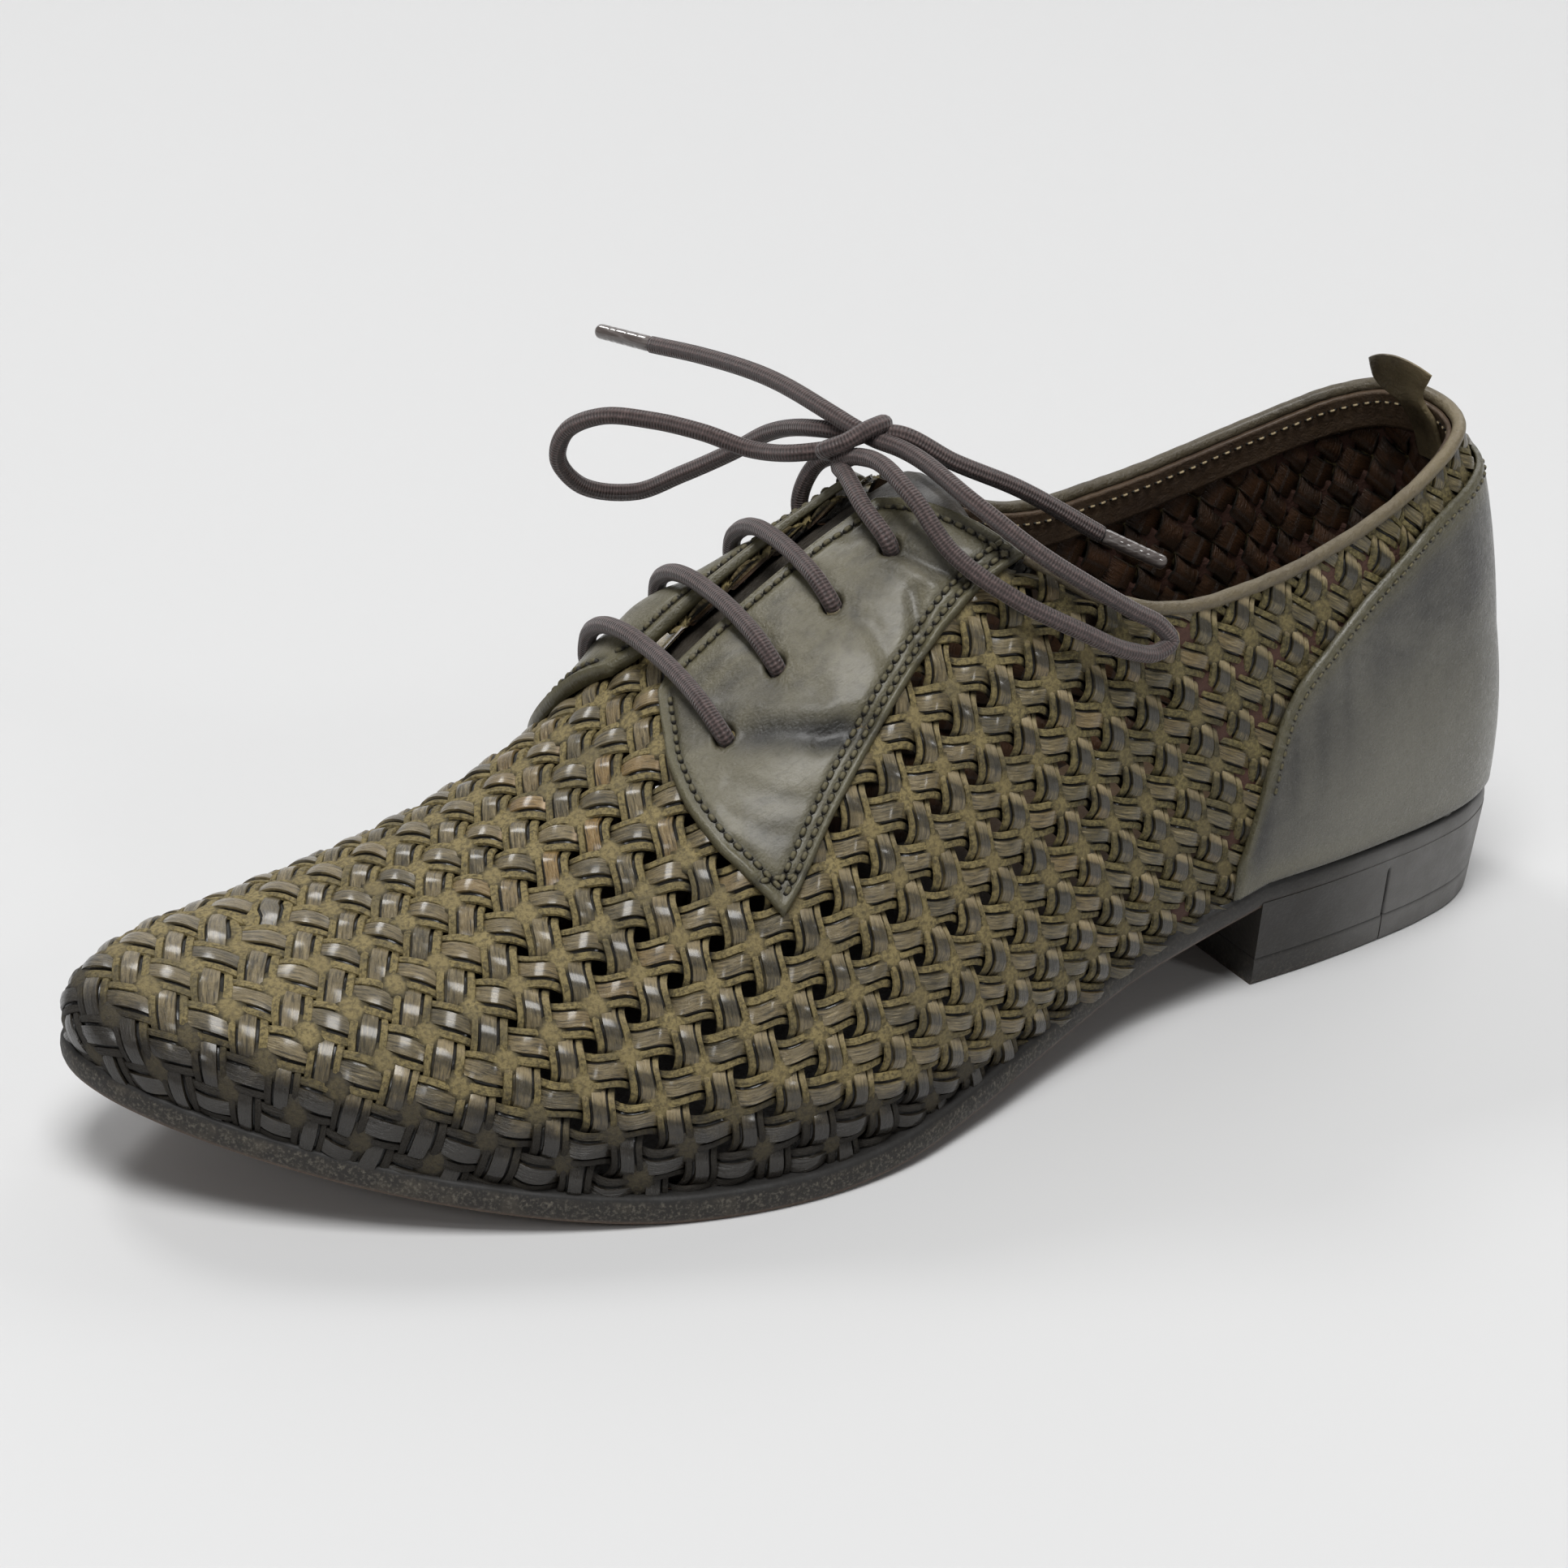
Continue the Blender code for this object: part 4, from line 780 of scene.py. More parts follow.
def ground_tone(f, grain):
    """Rough leather of side bands and fillings: ochre on the vamp, olive on the quarter."""
    colour = f.mix(f.layer("quarter"), tone("strip_recess"), tone("strip_olive"))
    colour = f.mix(f.span(grain, 0.60, 0.36, 0.0, 0.35), colour, GROUND_PALE)
    colour = f.mix(f.span(grain, 0.44, 0.66, 0.0, 0.75), colour, GROUND_DARK)
    return f.mix(f.span(f.cloud(90, 3, 0.5), 0.52, 0.72, 0.0, 0.55), colour, GROUND_PATCH)


def woven_finish():
    """Strips: grey brown panels, ochre side bands, folds painted black as shade, painted highlights and shade
    along the floats, burnished lower edge, brown inner face.
    """
    f = Finish("woven_leather")
    crest, hue, rust, fold, band, burnish, inside, quarter, head, heart, tip = map(f.layer, STRIP_TONES)
    fine = f.cloud(620, 5, 0.62)
    broad = f.cloud(150, 4, 0.6)
    grain = f.cloud(1300, 4, 0.65)
    drawn = f.streaks(0.35, 2.6, 5, "hue")
    raised = f.mix(f.span(hue, 0.0, 0.55, 0.8, 0.0), tone("strip_top"), STRIP_DULL)
    raised = f.mix(f.math("MULTIPLY", quarter, 0.75), raised, STRIP_QUARTER)
    raised = f.mix(rust, raised, tone("strip_rust"))
    raised = f.mix(f.span(drawn, 0.48, 0.67, 0.0, 0.8), raised, STREAK_DARK)
    raised = f.mix(f.span(drawn, 0.47, 0.29, 0.0, 0.62), raised, STREAK_PALE)
    colour = f.mix(band, raised, ground_tone(f, grain))
    # painted highlight on the upper end of the side floats
    colour = f.mix(f.math("MULTIPLY", head, 0.9), colour, FLOAT_HEAD_HIGHLIGHT)
    # painted shade in the middle of the side floats, broken up by fine noise
    worn = f.math("MULTIPLY", heart, f.math("ADD", fine, 0.5))
    colour = f.mix(f.span(worn, 0.2, 0.9, 0.0, 0.85), colour, FLOAT_HEART_SHADE)
    # painted shade where the strip dips under its neighbours
    colour = f.mix(f.span(crest, 0.58, 0.20), colour, STRIP_DIP_SHADE)
    colour = f.mix(f.math("MULTIPLY", f.span(broad, 0.5, 0.72), 0.45), colour, STRIP_SMUDGE)
    dark = f.math("ADD", burnish, f.math("MULTIPLY", f.math("SUBTRACT", broad, 0.5), 0.9))
    colour = f.mix(f.span(dark, 0.2, 0.9), colour, tone("burnish"))
    # pale bent ends of the vamp's floats: painted sheen and wear
    colour = f.mix(f.span(tip, 0.3, 0.9, 0.0, 0.9), colour, FLOAT_TIP_SHEEN_AND_WEAR)
    # painted shade: the folds darkened to near black
    colour = f.mix(f.span(fold, 0.25, 0.7, 0.0, 0.97), colour, FOLD_SHADE)
    colour = f.mix(inside, colour, f.mix(f.span(broad, 0.35, 0.65), tone("inside"), INSIDE_WARM))
    f.bump(f.pores(2300), 0.08, 0.4)
    f.bump(fine, 0.35, 0.7)
    f.bump(f.math("MULTIPLY", grain, band), 0.45, 0.8)
    f.bump(drawn, 0.6, 0.8)
    rough = f.math("ADD", f.span(drawn, 0.3, 0.7, 0.26, 0.5), f.math("MULTIPLY", band, 0.26))
    coat = f.math("MULTIPLY", f.math("SUBTRACT", 1.0, band), 0.6)
    return f.done(colour, rough, Coat_Weight=coat, Coat_Roughness=0.19, Specular_IOR_Level=0.4)


def filling_finish():
    """The rough ground between the strips, with painted shade round its rim where the strips lie over it, and
    the reddish lining behind the gaps of the quarter.
    """
    f = Finish("weave_filling")
    grain = f.cloud(1300, 4, 0.65)
    colour = f.mix(f.math("MULTIPLY", f.layer("hue"), 0.45), ground_tone(f, grain), FILLING_TAN)
    # painted shade round the filling's rim, next to the strips
    colour = f.mix(f.span(f.layer("rim"), 0.25, 0.9, 0.0, 0.8), colour, FILLING_RIM_SHADE)
    colour = f.mix(f.span(f.layer("burnish"), 0.1, 0.8, 0.0, 0.85), colour, tone("burnish"))
    colour = f.mix(f.layer("lining"), colour, f.mix(grain, *LINING_REDS))
    f.bump(grain, 0.5, 0.8)
    return f.done(colour, 0.74)


def smooth_finish(name, colour, dark, patch=55.0, shine=0.34, wrinkle=0.12, edge=None):
    """Smooth leather with a soft gloss, darker patches, fine grain and a tinted edge."""
    f = Finish(name)
    cloud = f.cloud(patch, 5, 0.6, distortion=0.6)
    fine = f.cloud(700, 5, 0.65)
    mixed = f.mix(f.span(cloud, 0.40, 0.70), colour, dark)
    if edge:
        mixed = f.mix(f.math("MULTIPLY", f.layer("edge"), 0.85), mixed, edge)
    mixed = f.mix(f.math("MULTIPLY", f.span(fine, 0.5, 0.8), 0.4), mixed, scaled(dark, 0.4))
    # pale layer: paler places that a piece gives, among them the counter's painted floor reflection
    mixed = f.mix(f.layer("pale"), mixed, scaled(colour, 1.9))
    # shade layer: painted shade that a piece gives, with the counter's smears
    mixed = f.mix(f.layer("shade"), mixed, scaled(dark, 0.2))
    f.bump(f.pores(1700), 0.10, 0.6)
    f.bump(fine, 1.6 * wrinkle, 0.7)
    f.bump(f.streaks(0.5, 1.5, 6), 3.0 * wrinkle, 0.8)
    f.bump(f.cloud(330, 6, 0.7, distortion=1.2), 4.0 * wrinkle, 0.6)
    rough = f.span(fine, 0.3, 0.75, shine - 0.05, shine + 0.15)
    return f.done(mixed, rough, Coat_Weight=0.2, Coat_Roughness=0.25)


def sole_finish():
    """Dark leather edge of sole and heel, dusty in front, paler at the heel with painted sheen, with a worn
    tread below.
    """
    f = Finish("sole_leather")
    dust = f.cloud(160, 6, 0.65)
    grit = f.cloud(1500, 4, 0.6)
    worn = f.layer("worn")
    colour = f.mix(f.math("MULTIPLY", f.span(dust, 0.45, 0.75), worn), tone("sole"), SOLE_DUST)
    crumbs = f.math("MULTIPLY", f.span(grit, 0.46, 0.72), f.math("MULTIPLY", worn, 0.7))
    colour = f.mix(crumbs, colour, SOLE_GRIT)
    colour = f.mix(f.layer("under"), colour, f.mix(dust, tone("tread"), TREAD_DIRT))
    # painted sheen: paler grey towards the back of the heel
    colour = f.mix(f.layer("pale"), colour, f.mix(dust, *HEEL_SHEEN_GREYS))
    colour = f.mix(f.layer("shade"), colour, SOLE_SEAM)
    f.bump(grit, 0.16, 0.6)
    f.bump(dust, 0.3, 0.5)
    rough = f.math("ADD", f.span(dust, 0.3, 0.7, 0.34, 0.5), f.math("MULTIPLY", worn, 0.28))
    return f.done(colour, rough, Coat_Weight=0.05, Coat_Roughness=0.3)


def lace_finish():
    """Waxed round cord with its braid, painted darker as shade in the braid's grooves."""
    f = Finish("lace_cord")
    along = f.math("MULTIPLY", f.layer("along"), 5.2)
    around = f.math("MULTIPLY", f.layer("around"), 4.0)
    first, second = (f.math("SINE", f.math(way, along, around)) for way in ("ADD", "SUBTRACT"))
    braid = f.math("MULTIPLY", first, second)
    wax = f.cloud(900, 4, 0.6)
    colour = f.mix(f.span(wax, 0.35, 0.75), tone("lace"), LACE_WORN)
    # painted shade in the grooves of the braid
    colour = f.mix(f.span(braid, 0.3, -0.7, 0.0, 0.8), colour, LACE_GROOVE_SHADE)
    f.bump(braid, 0.22, 0.8)
    f.bump(wax, 0.12, 0.5)
    return f.done(colour, f.span(wax, 0.3, 0.7, 0.45, 0.7), Sheen_Weight=0.2, Sheen_Roughness=0.5)


def thread_finish(name, colour):
    """Twisted sewing thread, painted dark as shade where it dips into the leather."""
    f = Finish(name)
    fray = f.cloud(2500, 3, 0.6)
    f.bump(fray, 0.08, 0.6)
    mixed = f.mix(f.span(fray, 0.3, 0.8), colour, scaled(colour, 0.5))
    return f.done(f.mix(f.span(f.layer("shade"), 0.3, 0.9), mixed, THREAD_DIP_SHADE), 0.65)


def aglet_finish():
    """Clear, scratched sleeve over the lace's end."""
    f = Finish("aglet_sleeve")
    scratch = f.cloud(700, 4, 0.6, stretch=(0.3, 0.3, 3.0))
    f.bump(scratch, 0.04, 0.5)
    colour = f.mix(f.span(scratch, 0.4, 0.7), *AGLET_TONES)
    return f.done(colour, 0.16, Coat_Weight=0.8, Coat_Roughness=0.08)


def floor_finish():
    """Pale floor with a trace of unevenness."""
    f = Finish("studio_floor")
    return f.done(f.mix(f.cloud(3, 2, 0.5), tone("floor"), scaled(tone("floor"), 0.98)), 0.6)


def plan_loop(inset):
    """The sole's outline drawn in by an inset."""
    ahead = np.roll(EDGE, -1, axis=0) - np.roll(EDGE, 1, axis=0)
    inward = np.stack([ahead[:, 1], -ahead[:, 0]], -1)
    return EDGE + inset * inward / np.linalg.norm(inward, axis=1, keepdims=True)


def plan_edges(x, inset):
    """Lateral and medial y of the drawn-in outline, and its two ends in x."""
    loop = plan_loop(inset)
    toe = int(np.argmax(loop[:, 0]))
    lateral, medial = loop[:toe + 1], np.vstack([loop[toe:], loop[:1]])
    lateral, medial = lateral[np.argsort(lateral[:, 0])], medial[np.argsort(medial[:, 0])]
    return (np.interp(x, lateral[:, 0], lateral[:, 1]), np.interp(x, medial[:, 0], medial[:, 1]),
            loop[:, 0].min(), loop[:, 0].max())


def sole_layer(levels, sections, span=(-FAR, FAR), extra=()):
    """Layer of the sole through levels of (inset, height function of x), bottom to top: points and faces."""
    spread = (1 - np.cos(np.linspace(0, np.pi, sections))) / 2
    sections += len(extra)
    points = []
    for inset, height in levels:
        _, _, back, front = plan_edges(0.0, inset)
        back, front = max(back + OUTLINE_CLEAR, span[0]), min(front - OUTLINE_CLEAR, span[1])
        x = np.sort(np.append(back + (front - back) * spread, extra))
        lateral, medial, _, _ = plan_edges(x, inset)
        z = height(x) + 0.0 * x
        points += [np.stack([x, lateral, z], -1), np.stack([x, medial, z], -1)[::-1]]
    points = np.concatenate(points)
    ring = 2 * sections
    faces = []
    for level in range(len(levels) - 1):
        for k in range(ring):
            start, end = level * ring + k, level * ring + (k + 1) % ring
            faces.append([start, end, end + ring, start + ring])
    top = (len(levels) - 1) * ring
    for k in range(sections - 1):
        quad = [k, k + 1, ring - 2 - k, ring - 1 - k]
        faces.append(quad)
        faces.append([top + q for q in reversed(quad)])
    return points, faces


def lattice(i, j):
    """Chart place for strip numbers: i across the narrow strips, j across the wide ones."""
    m, n = i + j, j - i
    b = WEAVE_START[1] + n * HALF_ACROSS
    a = WEAVE_START[0] + m * HALF_ALONG - WEAVE_BOW * (b - WEAVE_CREST) ** 2
    return a, b + WEAVE_TILT * (a - WEAVE_START[0]) * np.tanh(b / WEAVE_TILT_START)


def in_field(a, b, throat=THROAT[0], throat_end=THROAT[1]):
    """True where the weave is: above the sole line, below the collar and outside the throat."""
    _, girth = last.station(a, b)
    x, _, z = np.moveaxis(last.point(a, b), -1, 0)
    inside = (girth < last.foot_girth(a, b) + 2.0) & (a > last.heel_start + 0.3)
    inside &= ~((x < COLLAR[-1][0]) & (z > collar_height(x) + 1.0))
    inside &= ~((a > THROAT_START) & (a < throat_end) & (np.abs(b) < throat))
    return inside


# Cross section of a strip: a raised panel between two folds painted dark as shade, a lower band on each side,
# a flat underside
STRIP_SECTION = (      # place across from -1 to 1, height, 1 in a fold that is painted black as shade, 1 on a side band, 1 on the inner face
    (-1.0, -0.40, 0, 1, 0), (-0.96, 0.10, 0, 1, 0), (-0.80, 0.24, 0, 1, 0), (-0.60, 0.18, 0, 1, 0),
    (-0.56, -0.26, 1, 1, 0), (-0.44, -0.28, 1, 0, 0), (-0.41, 0.44, 0, 0, 0), (0.0, 0.54, 0, 0, 0),
    (0.41, 0.44, 0, 0, 0), (0.44, -0.28, 1, 0, 0), (0.56, -0.26, 1, 1, 0), (0.60, 0.18, 0, 1, 0),
    (0.80, 0.24, 0, 1, 0), (0.96, 0.10, 0, 1, 0), (1.0, -0.40, 0, 1, 0),
    (0.85, -0.60, 0, 0, 1), (-0.85, -0.60, 0, 0, 1),
)
STRIP_STEPS = 8        # rings from one crossing to the next
RUN_MINIMUM = 9        # shorter runs are left out
RUN_MARGIN = 12        # rings past a run that its edges may still reach
WHOLE_RING = 1000      # weight of a ring's points in the field against its distance from the run's middle


def openness(a, b):
    """How far the weave stands open: wide on the outer flank, closed at the toe and on the inner side."""
    fore = 1 - ease(*OPEN_FORE, a)
    rear = ease(*OPEN_REAR, a)
    inner = 1 - 0.60 * ease(*OPEN_CROWN, b) - 0.30 * ease(*OPEN_INNER, b)
    low = 1 - 0.45 * ease(*OPEN_LOW, b)
    return OPEN_LEAST + (1 - OPEN_LEAST) * fore * (0.3 + 0.7 * rear) * inner * low


def burnish_at(a, b, points):
    """Dark finish along the lower edge, deepest at the toe and the outer ball."""
    _, girth = last.station(a, b)
    low = last.foot_girth(a, b) - girth
    reach = BURNISH_LOW + BURNISH_MORE * ease(*BURNISH_RISES, a)
    edge = 1 - ease(0.25 * reach, reach, low)
    tip = ease(*BURNISH_TIP, points[..., 0] + 0.18 * np.abs(points[..., 1] - TOE_TIP_Y))
    return np.clip(np.maximum(edge * (0.55 + 0.4 * ease(*BURNISH_DEEPENS, a)), 0.8 * tip), 0, 1)


def under_collar(a, b):
    """1 at the wall's top edge, where the binding holds the strips flat, to 0 some way below."""
    x, _, z = np.moveaxis(last.point(a, b), -1, 0)
    return np.where(x < COLLAR[-1][0], 1 - ease(0.5, 4.5, collar_height(x) - z), 0.0)


def strip_runs(valid):
    """First and last index of each stretch where a strip's middle lies in the field."""
    edges = np.flatnonzero(np.diff(np.concatenate([[0], valid.astype(int), [0]])))
    return [(start, end - 1) for start, end in zip(edges[::2], edges[1::2]) if end - start >= RUN_MINIMUM]


def strip_rings(valid, start, end):
    """Ring for each ring and column of a run; a column that leaves the field stays on its last one."""
    window = slice(max(start - RUN_MARGIN, 0), min(end + RUN_MARGIN + 1, len(valid)))
    near = valid[window]
    from_middle = np.abs(np.arange(start, end + 1) - (start + end) / 2)
    whole = valid[start:end + 1].sum(axis=1) * WHOLE_RING - from_middle
    centre = start + int(np.argmax(whole)) - window.start
    before = np.cumprod(np.flip(near[:centre + 1], 0), axis=0).sum(axis=0)
    after = np.cumprod(near[centre:], axis=0).sum(axis=0)
    first, final = centre - np.maximum(before, 1) + 1, centre + np.maximum(after, 1) - 1
    index = np.arange(first.min(), final.max() + 1)
    return np.clip(index[:, None], first, final) + window.start


def rust_at(a, b, label):
    """Warm strips: most of them on the vamp in front of the facings, a few on the quarter."""
    quarter = 0.45 * bell(a - RUST_QUARTER[0], RUST_QUARTER[1])
    return ease(0.62, 0.95, label) * np.clip(spot(a, b, *RUST_VAMP) + quarter, 0, 1)


def float_tones(narrow, turn, a, b, label, band):
    """Painted light along a float: a painted highlight on the upper end and painted shade in the middle on
    the sides, pale bent ends on the vamp that are painted sheen and wear.
    """
    side = np.clip(0.7 * ease(26, 52, b) + 1 - ease(100, 145, a), 0, 1) * (1.0 if narrow else 0.0)
    vamp = spot(a, b, *VAMP_TIP_SHEEN_AND_WEAR) * (0.0 if narrow else 1.0)
    head = side * ease(-0.27, -0.21, turn) * (1 - ease(-0.17, -0.09, turn)) * (0.5 + 0.5 * label)
    heart = side * ease(-0.15, -0.05, turn) * (1 - ease(0.06, 0.16, turn)) * (1 - 0.5 * band)
    tip = vamp * np.clip(1 - np.abs(turn + 0.235) / 0.07, 0, 1) * ease(0.2, 0.6, label) * (1 - band)
    return {"head": head, "heart": heart, "tip": tip}


def add_strip(build, number, narrow, span):
    """One strip of the weave, over and under its neighbours, trimmed to the field."""
    full = size("strip_narrow" if narrow else "strip_wide")
    across, rise, fold, band, inner = np.array(STRIP_SECTION).T
    s = np.arange(span[0], span[1], 1.0 / STRIP_STEPS)
    grow = np.cos(np.pi * (s + number)) * (1 if narrow else -1)
    wave = np.tanh(WAVE_SQUARE * grow) / np.tanh(WAVE_SQUARE)
    sway = -np.sin(np.pi * s) * (-1) ** number
    floats = (s + number + (0 if narrow else 1)) / 2
    float_number = np.round(floats)
    turn = floats - float_number

    def chance(kind):
        """Number from 0 to 1 for each float."""
        return noise(number, float_number, (1.0 if narrow else 2.0) + kind)

    label, lean, bulge = chance(0), (chance(2) - 0.5) * STRIP_LEAN, (chance(6) - 0.5) * BULGE
    strong, faint = 0.8 + 0.2 * chance(8)[:, None], 0.45 + 0.55 * chance(10)[:, None]
    middle = lattice(*((number + 0 * s, s) if narrow else (s, number + 0 * s)))
    open_share = openness(*middle)
    first_share = 1 - ease(*FOLD_SHADE_CHANGE, middle[0])[:, None] if narrow else 1.0
    # how dark the painted shade of each fold is: strong on one side, faint on the other
    fold_shade_strength = np.where(across > 0, first_share * strong + (1 - first_share) * faint,
                     first_share * faint + (1 - first_share) * strong)
    shift = sway * open_share * size("gap_shift") / STRIP_PITCH
    width = full + (STRIP_PITCH - STRIP_CLEAR - full) * (1 - open_share)
    breadth = width / 2 / STRIP_PITCH * (0.97 + 0.05 * grow)
    drift = (chance(4)[:, None] - 0.5) * PANEL_DRIFT
    place = across[None, :] + drift * (1 - across**2)[None, :]
    side = number + shift[:, None] + place * breadth[:, None] + (lean * grow)[:, None] * place
    along = np.broadcast_to(s[:, None], side.shape)
    a, b = lattice(*((side, along) if narrow else (along, side)))
    valid = in_field(a, b, *THROAT_TRIM)
    for start, end in strip_runs(in_field(*middle)):
        pick = strip_rings(valid, start, end)
        column = np.broadcast_to(np.arange(len(across)), pick.shape)
        aa, bb = a[pick, column], b[pick, column]
        height = wave[pick]
        worn = 1 - 0.5 * ease(*TOE_FLATTENS, aa)
        flat = (1 - 0.22 * band * (height > 0)) * (1 - 0.65 * under_collar(aa, bb))
        lift = size("strip_level") + (size("strip_wave") + bulge[pick]) * worn * height * flat + rise
        points = last.lifted(aa, bb, lift)
        build.add(points, capped_faces(*pick.shape), crest=np.clip(0.5 + 0.5 * height, 0, 1), hue=label[pick],
                  rust=rust_at(aa, bb, label[pick]), fold=fold * fold_shade_strength[pick, column],
                  band=np.broadcast_to(band, pick.shape), burnish=burnish_at(aa, bb, points),
                  inside=np.broadcast_to(inner, pick.shape), quarter=1 - ease(*QUARTER_ENDS, aa),
                  **float_tones(narrow, turn[pick], aa, bb, label[pick], band),
                  along=s[pick] * STRIP_PITCH, across=across * full / 2 + 0.0 * pick)


FILL_GRID = np.linspace(-1, 1, 6)
FILL_NUMBERS = range(-45, 31)
FILL_DEPTH = 0.9       # from a filling's level down to its underside
LINING_START, LINING_SPREAD = 104, 24   # chart length behind which the lining shows, and how ragged that is


def add_fillings(build):
    """Pillows between the strips: rough ground at the closed corners, lining behind the quarter's gaps."""
    u, v = np.meshgrid(FILL_GRID, FILL_GRID, indexing="ij")
    dome = np.clip(1 - 0.5 * (np.abs(u) ** 3 + np.abs(v) ** 3) - 0.4 * (u * v) ** 2, 0, 1)
    # rim: where the filling is painted dark as shade, next to the strips
    rim = ease(0.35, 1.0, np.hypot(u, v)).ravel()
    for row in FILL_NUMBERS:
        for col in FILL_NUMBERS:
            i, j = row + 0.5, col + 0.5
            a0, b0 = lattice(np.array(i), np.array(j))
            if not (in_field(a0, b0) and in_field(a0, b0, *THROAT_FILL)):
                continue
            gap = (col - row) % 2 == 0
            if gap and a0 > LINING_START - LINING_SPREAD * noise(row, col, 9.0):
                continue
            reach = 0.36 + 0.08 * noise(row, col, 7.0)
            wobble = 0.16 * (noise(row + 5 * u, col + 3 * v, 4.0) - 0.5)
            a, b = lattice(i + reach * (u + wobble), j + reach * (v - wobble))
            if not in_field(a, b).all():
                continue
            level = size("strip_level") + 0.32 + 0.3 * noise(row, col, 8.0) - 0.3 * ease(*TOE_FLATTENS, a0)
            level -= 0.55 if gap else 0.0
            rough = 0.2 * (noise(row + 9 * u, col + 7 * v, 5.0) - 0.5)
            outer = last.lifted(a, b, level + 0.5 * dome + rough)
            inner = last.lifted(a, b, np.full(a.shape, level - FILL_DEPTH))
            points, faces = sheet_solid(outer, inner)
            build.add(points, faces, burnish=burnish_at(a0, b0, outer[2, 2]), hue=noise(row, col, 6.0),
                      quarter=1 - ease(*QUARTER_ENDS, a0), lining=1.0 if gap else 0.0, rim=np.tile(rim, 2))


class SHOE_OT_weave(bpy.types.Operator):
    """Woven upper: two families of lipped leather strips, over and under each other on the last"""
    bl_idname = "shoe.weave"
    bl_label = "Woven upper"

    def execute(self, context):
        finish = woven_finish()
        for name, narrow, first, span, nodes in STRIP_FAMILIES:
            build = Build(*STRIP_LAYERS)
            for number in range(first, STRIP_END, 2):
                add_strip(build, number, narrow, span)
            build.piece(name, finish, slot="woven_leather", replaces=nodes, sharp=0.75)
        fillings = Build("burnish", "hue", "quarter", "lining", "rim")
        add_fillings(fillings)
        fillings.piece("weave_fillings", filling_finish(), slot="woven_leather")
        return {"FINISHED"}


def heel_inset(z):
    """Inset of the heel from the sole's edge: flush at the top, drawn in below."""
    return HEEL_FLUSH + (HEEL_INSET + HEEL_TAPER) * np.clip(1 - z / (HEEL_HEIGHT + 1.0), 0, 1)


def heel_sheen(points):
    """Polished heel edge, paler towards the back: painted sheen."""
    return 0.85 * (1 - ease(28, 62, points[:, 0]))


def add_sole(finish):
    """The sole with its grooved edge, dusty in front and worn below."""
    levels = [(inset, lambda x, up=up: sole_underside(x) + up) for inset, up in SOLE_EDGE]
    points, faces = sole_layer(levels, 170)
    rise = points[:, 2] - sole_underside(points[:, 0])
    layers = {"under": 1 - ease(0.1, 1.4, rise), "shade": ease(4.3, 4.9, rise) * 0.95,
              "worn": 0.15 + 0.85 * ease(70, 150, points[:, 0]), "pale": heel_sheen(points)}
    make_piece("sole", points, faces, finish, "sole_leather", ("outsole",), layers, 0.8)


def add_heel_block(finish):
    """The heel's block, with the upright joint cut into its sides."""
    heights = np.linspace(LIFT_THICK + 0.1, HEEL_HEIGHT + 1.3, 22)
    levels = [(heel_inset(z), lambda x, z=z: z) for z in heights]
    points, faces = sole_layer(levels, 90, (-FAR, BREAST_X), JOINT_X + np.linspace(-0.8, 0.8, 9))
    groove = bell(points[:, 0] - JOINT_X, JOINT_WIDTH) * (1 - ease(16.2, 17.0, points[:, 2]))
    points[:, 1] -= np.sign(points[:, 1]) * JOINT_DEPTH * groove
    block = Build("under", "shade", "worn", "pale")
    block.add(points, faces, shade=np.clip(groove * 0.9, 0, 1), worn=0.12, pale=heel_sheen(points))
    block.piece("heel_block", finish, slot="sole_leather", replaces=("heel_stack",), sharp=0.9)


def add_top_lift(finish, name, start, end):
    """One piece of the heel's wearing layer, between two places along the shoe."""
    levels = [(heel_inset(z) + more, lambda x, z=z: z) for more, z in LIFT_EDGE]
    points, faces = sole_layer(levels, 60, (start, end))
    z = points[:, 2]
    layers = {"under": 0.35 * (1 - ease(0.1, 0.6, z)), "shade": 0.6 * ease(5.5, 6.0, z),
              "worn": 0.2 + 0.5 * (1 - ease(0, 2.5, z)), "pale": heel_sheen(points)}
    make_piece(name + "_worn", points, faces, finish, "heel_lift", (name,), layers, 0.8)


class SHOE_OT_sole(bpy.types.Operator):
    """Leather sole, heel block and the two pieces of its wearing layer"""
    bl_idname = "shoe.sole"
    bl_label = "Sole and heel"

    def execute(self, context):
        finish = sole_finish()
        add_sole(finish)
        add_heel_block(finish)
        add_top_lift(finish, "top_lift_rear", -FAR, JOINT_X - JOINT_GAP)
        add_top_lift(finish, "top_lift_front", JOINT_X + JOINT_GAP, BREAST_X)
        return {"FINISHED"}


EDGE_ROUND = 1.1       # width of a panel's rounded edge
BEAD_INSET, BEAD_WIDTH = 0.75, 0.5


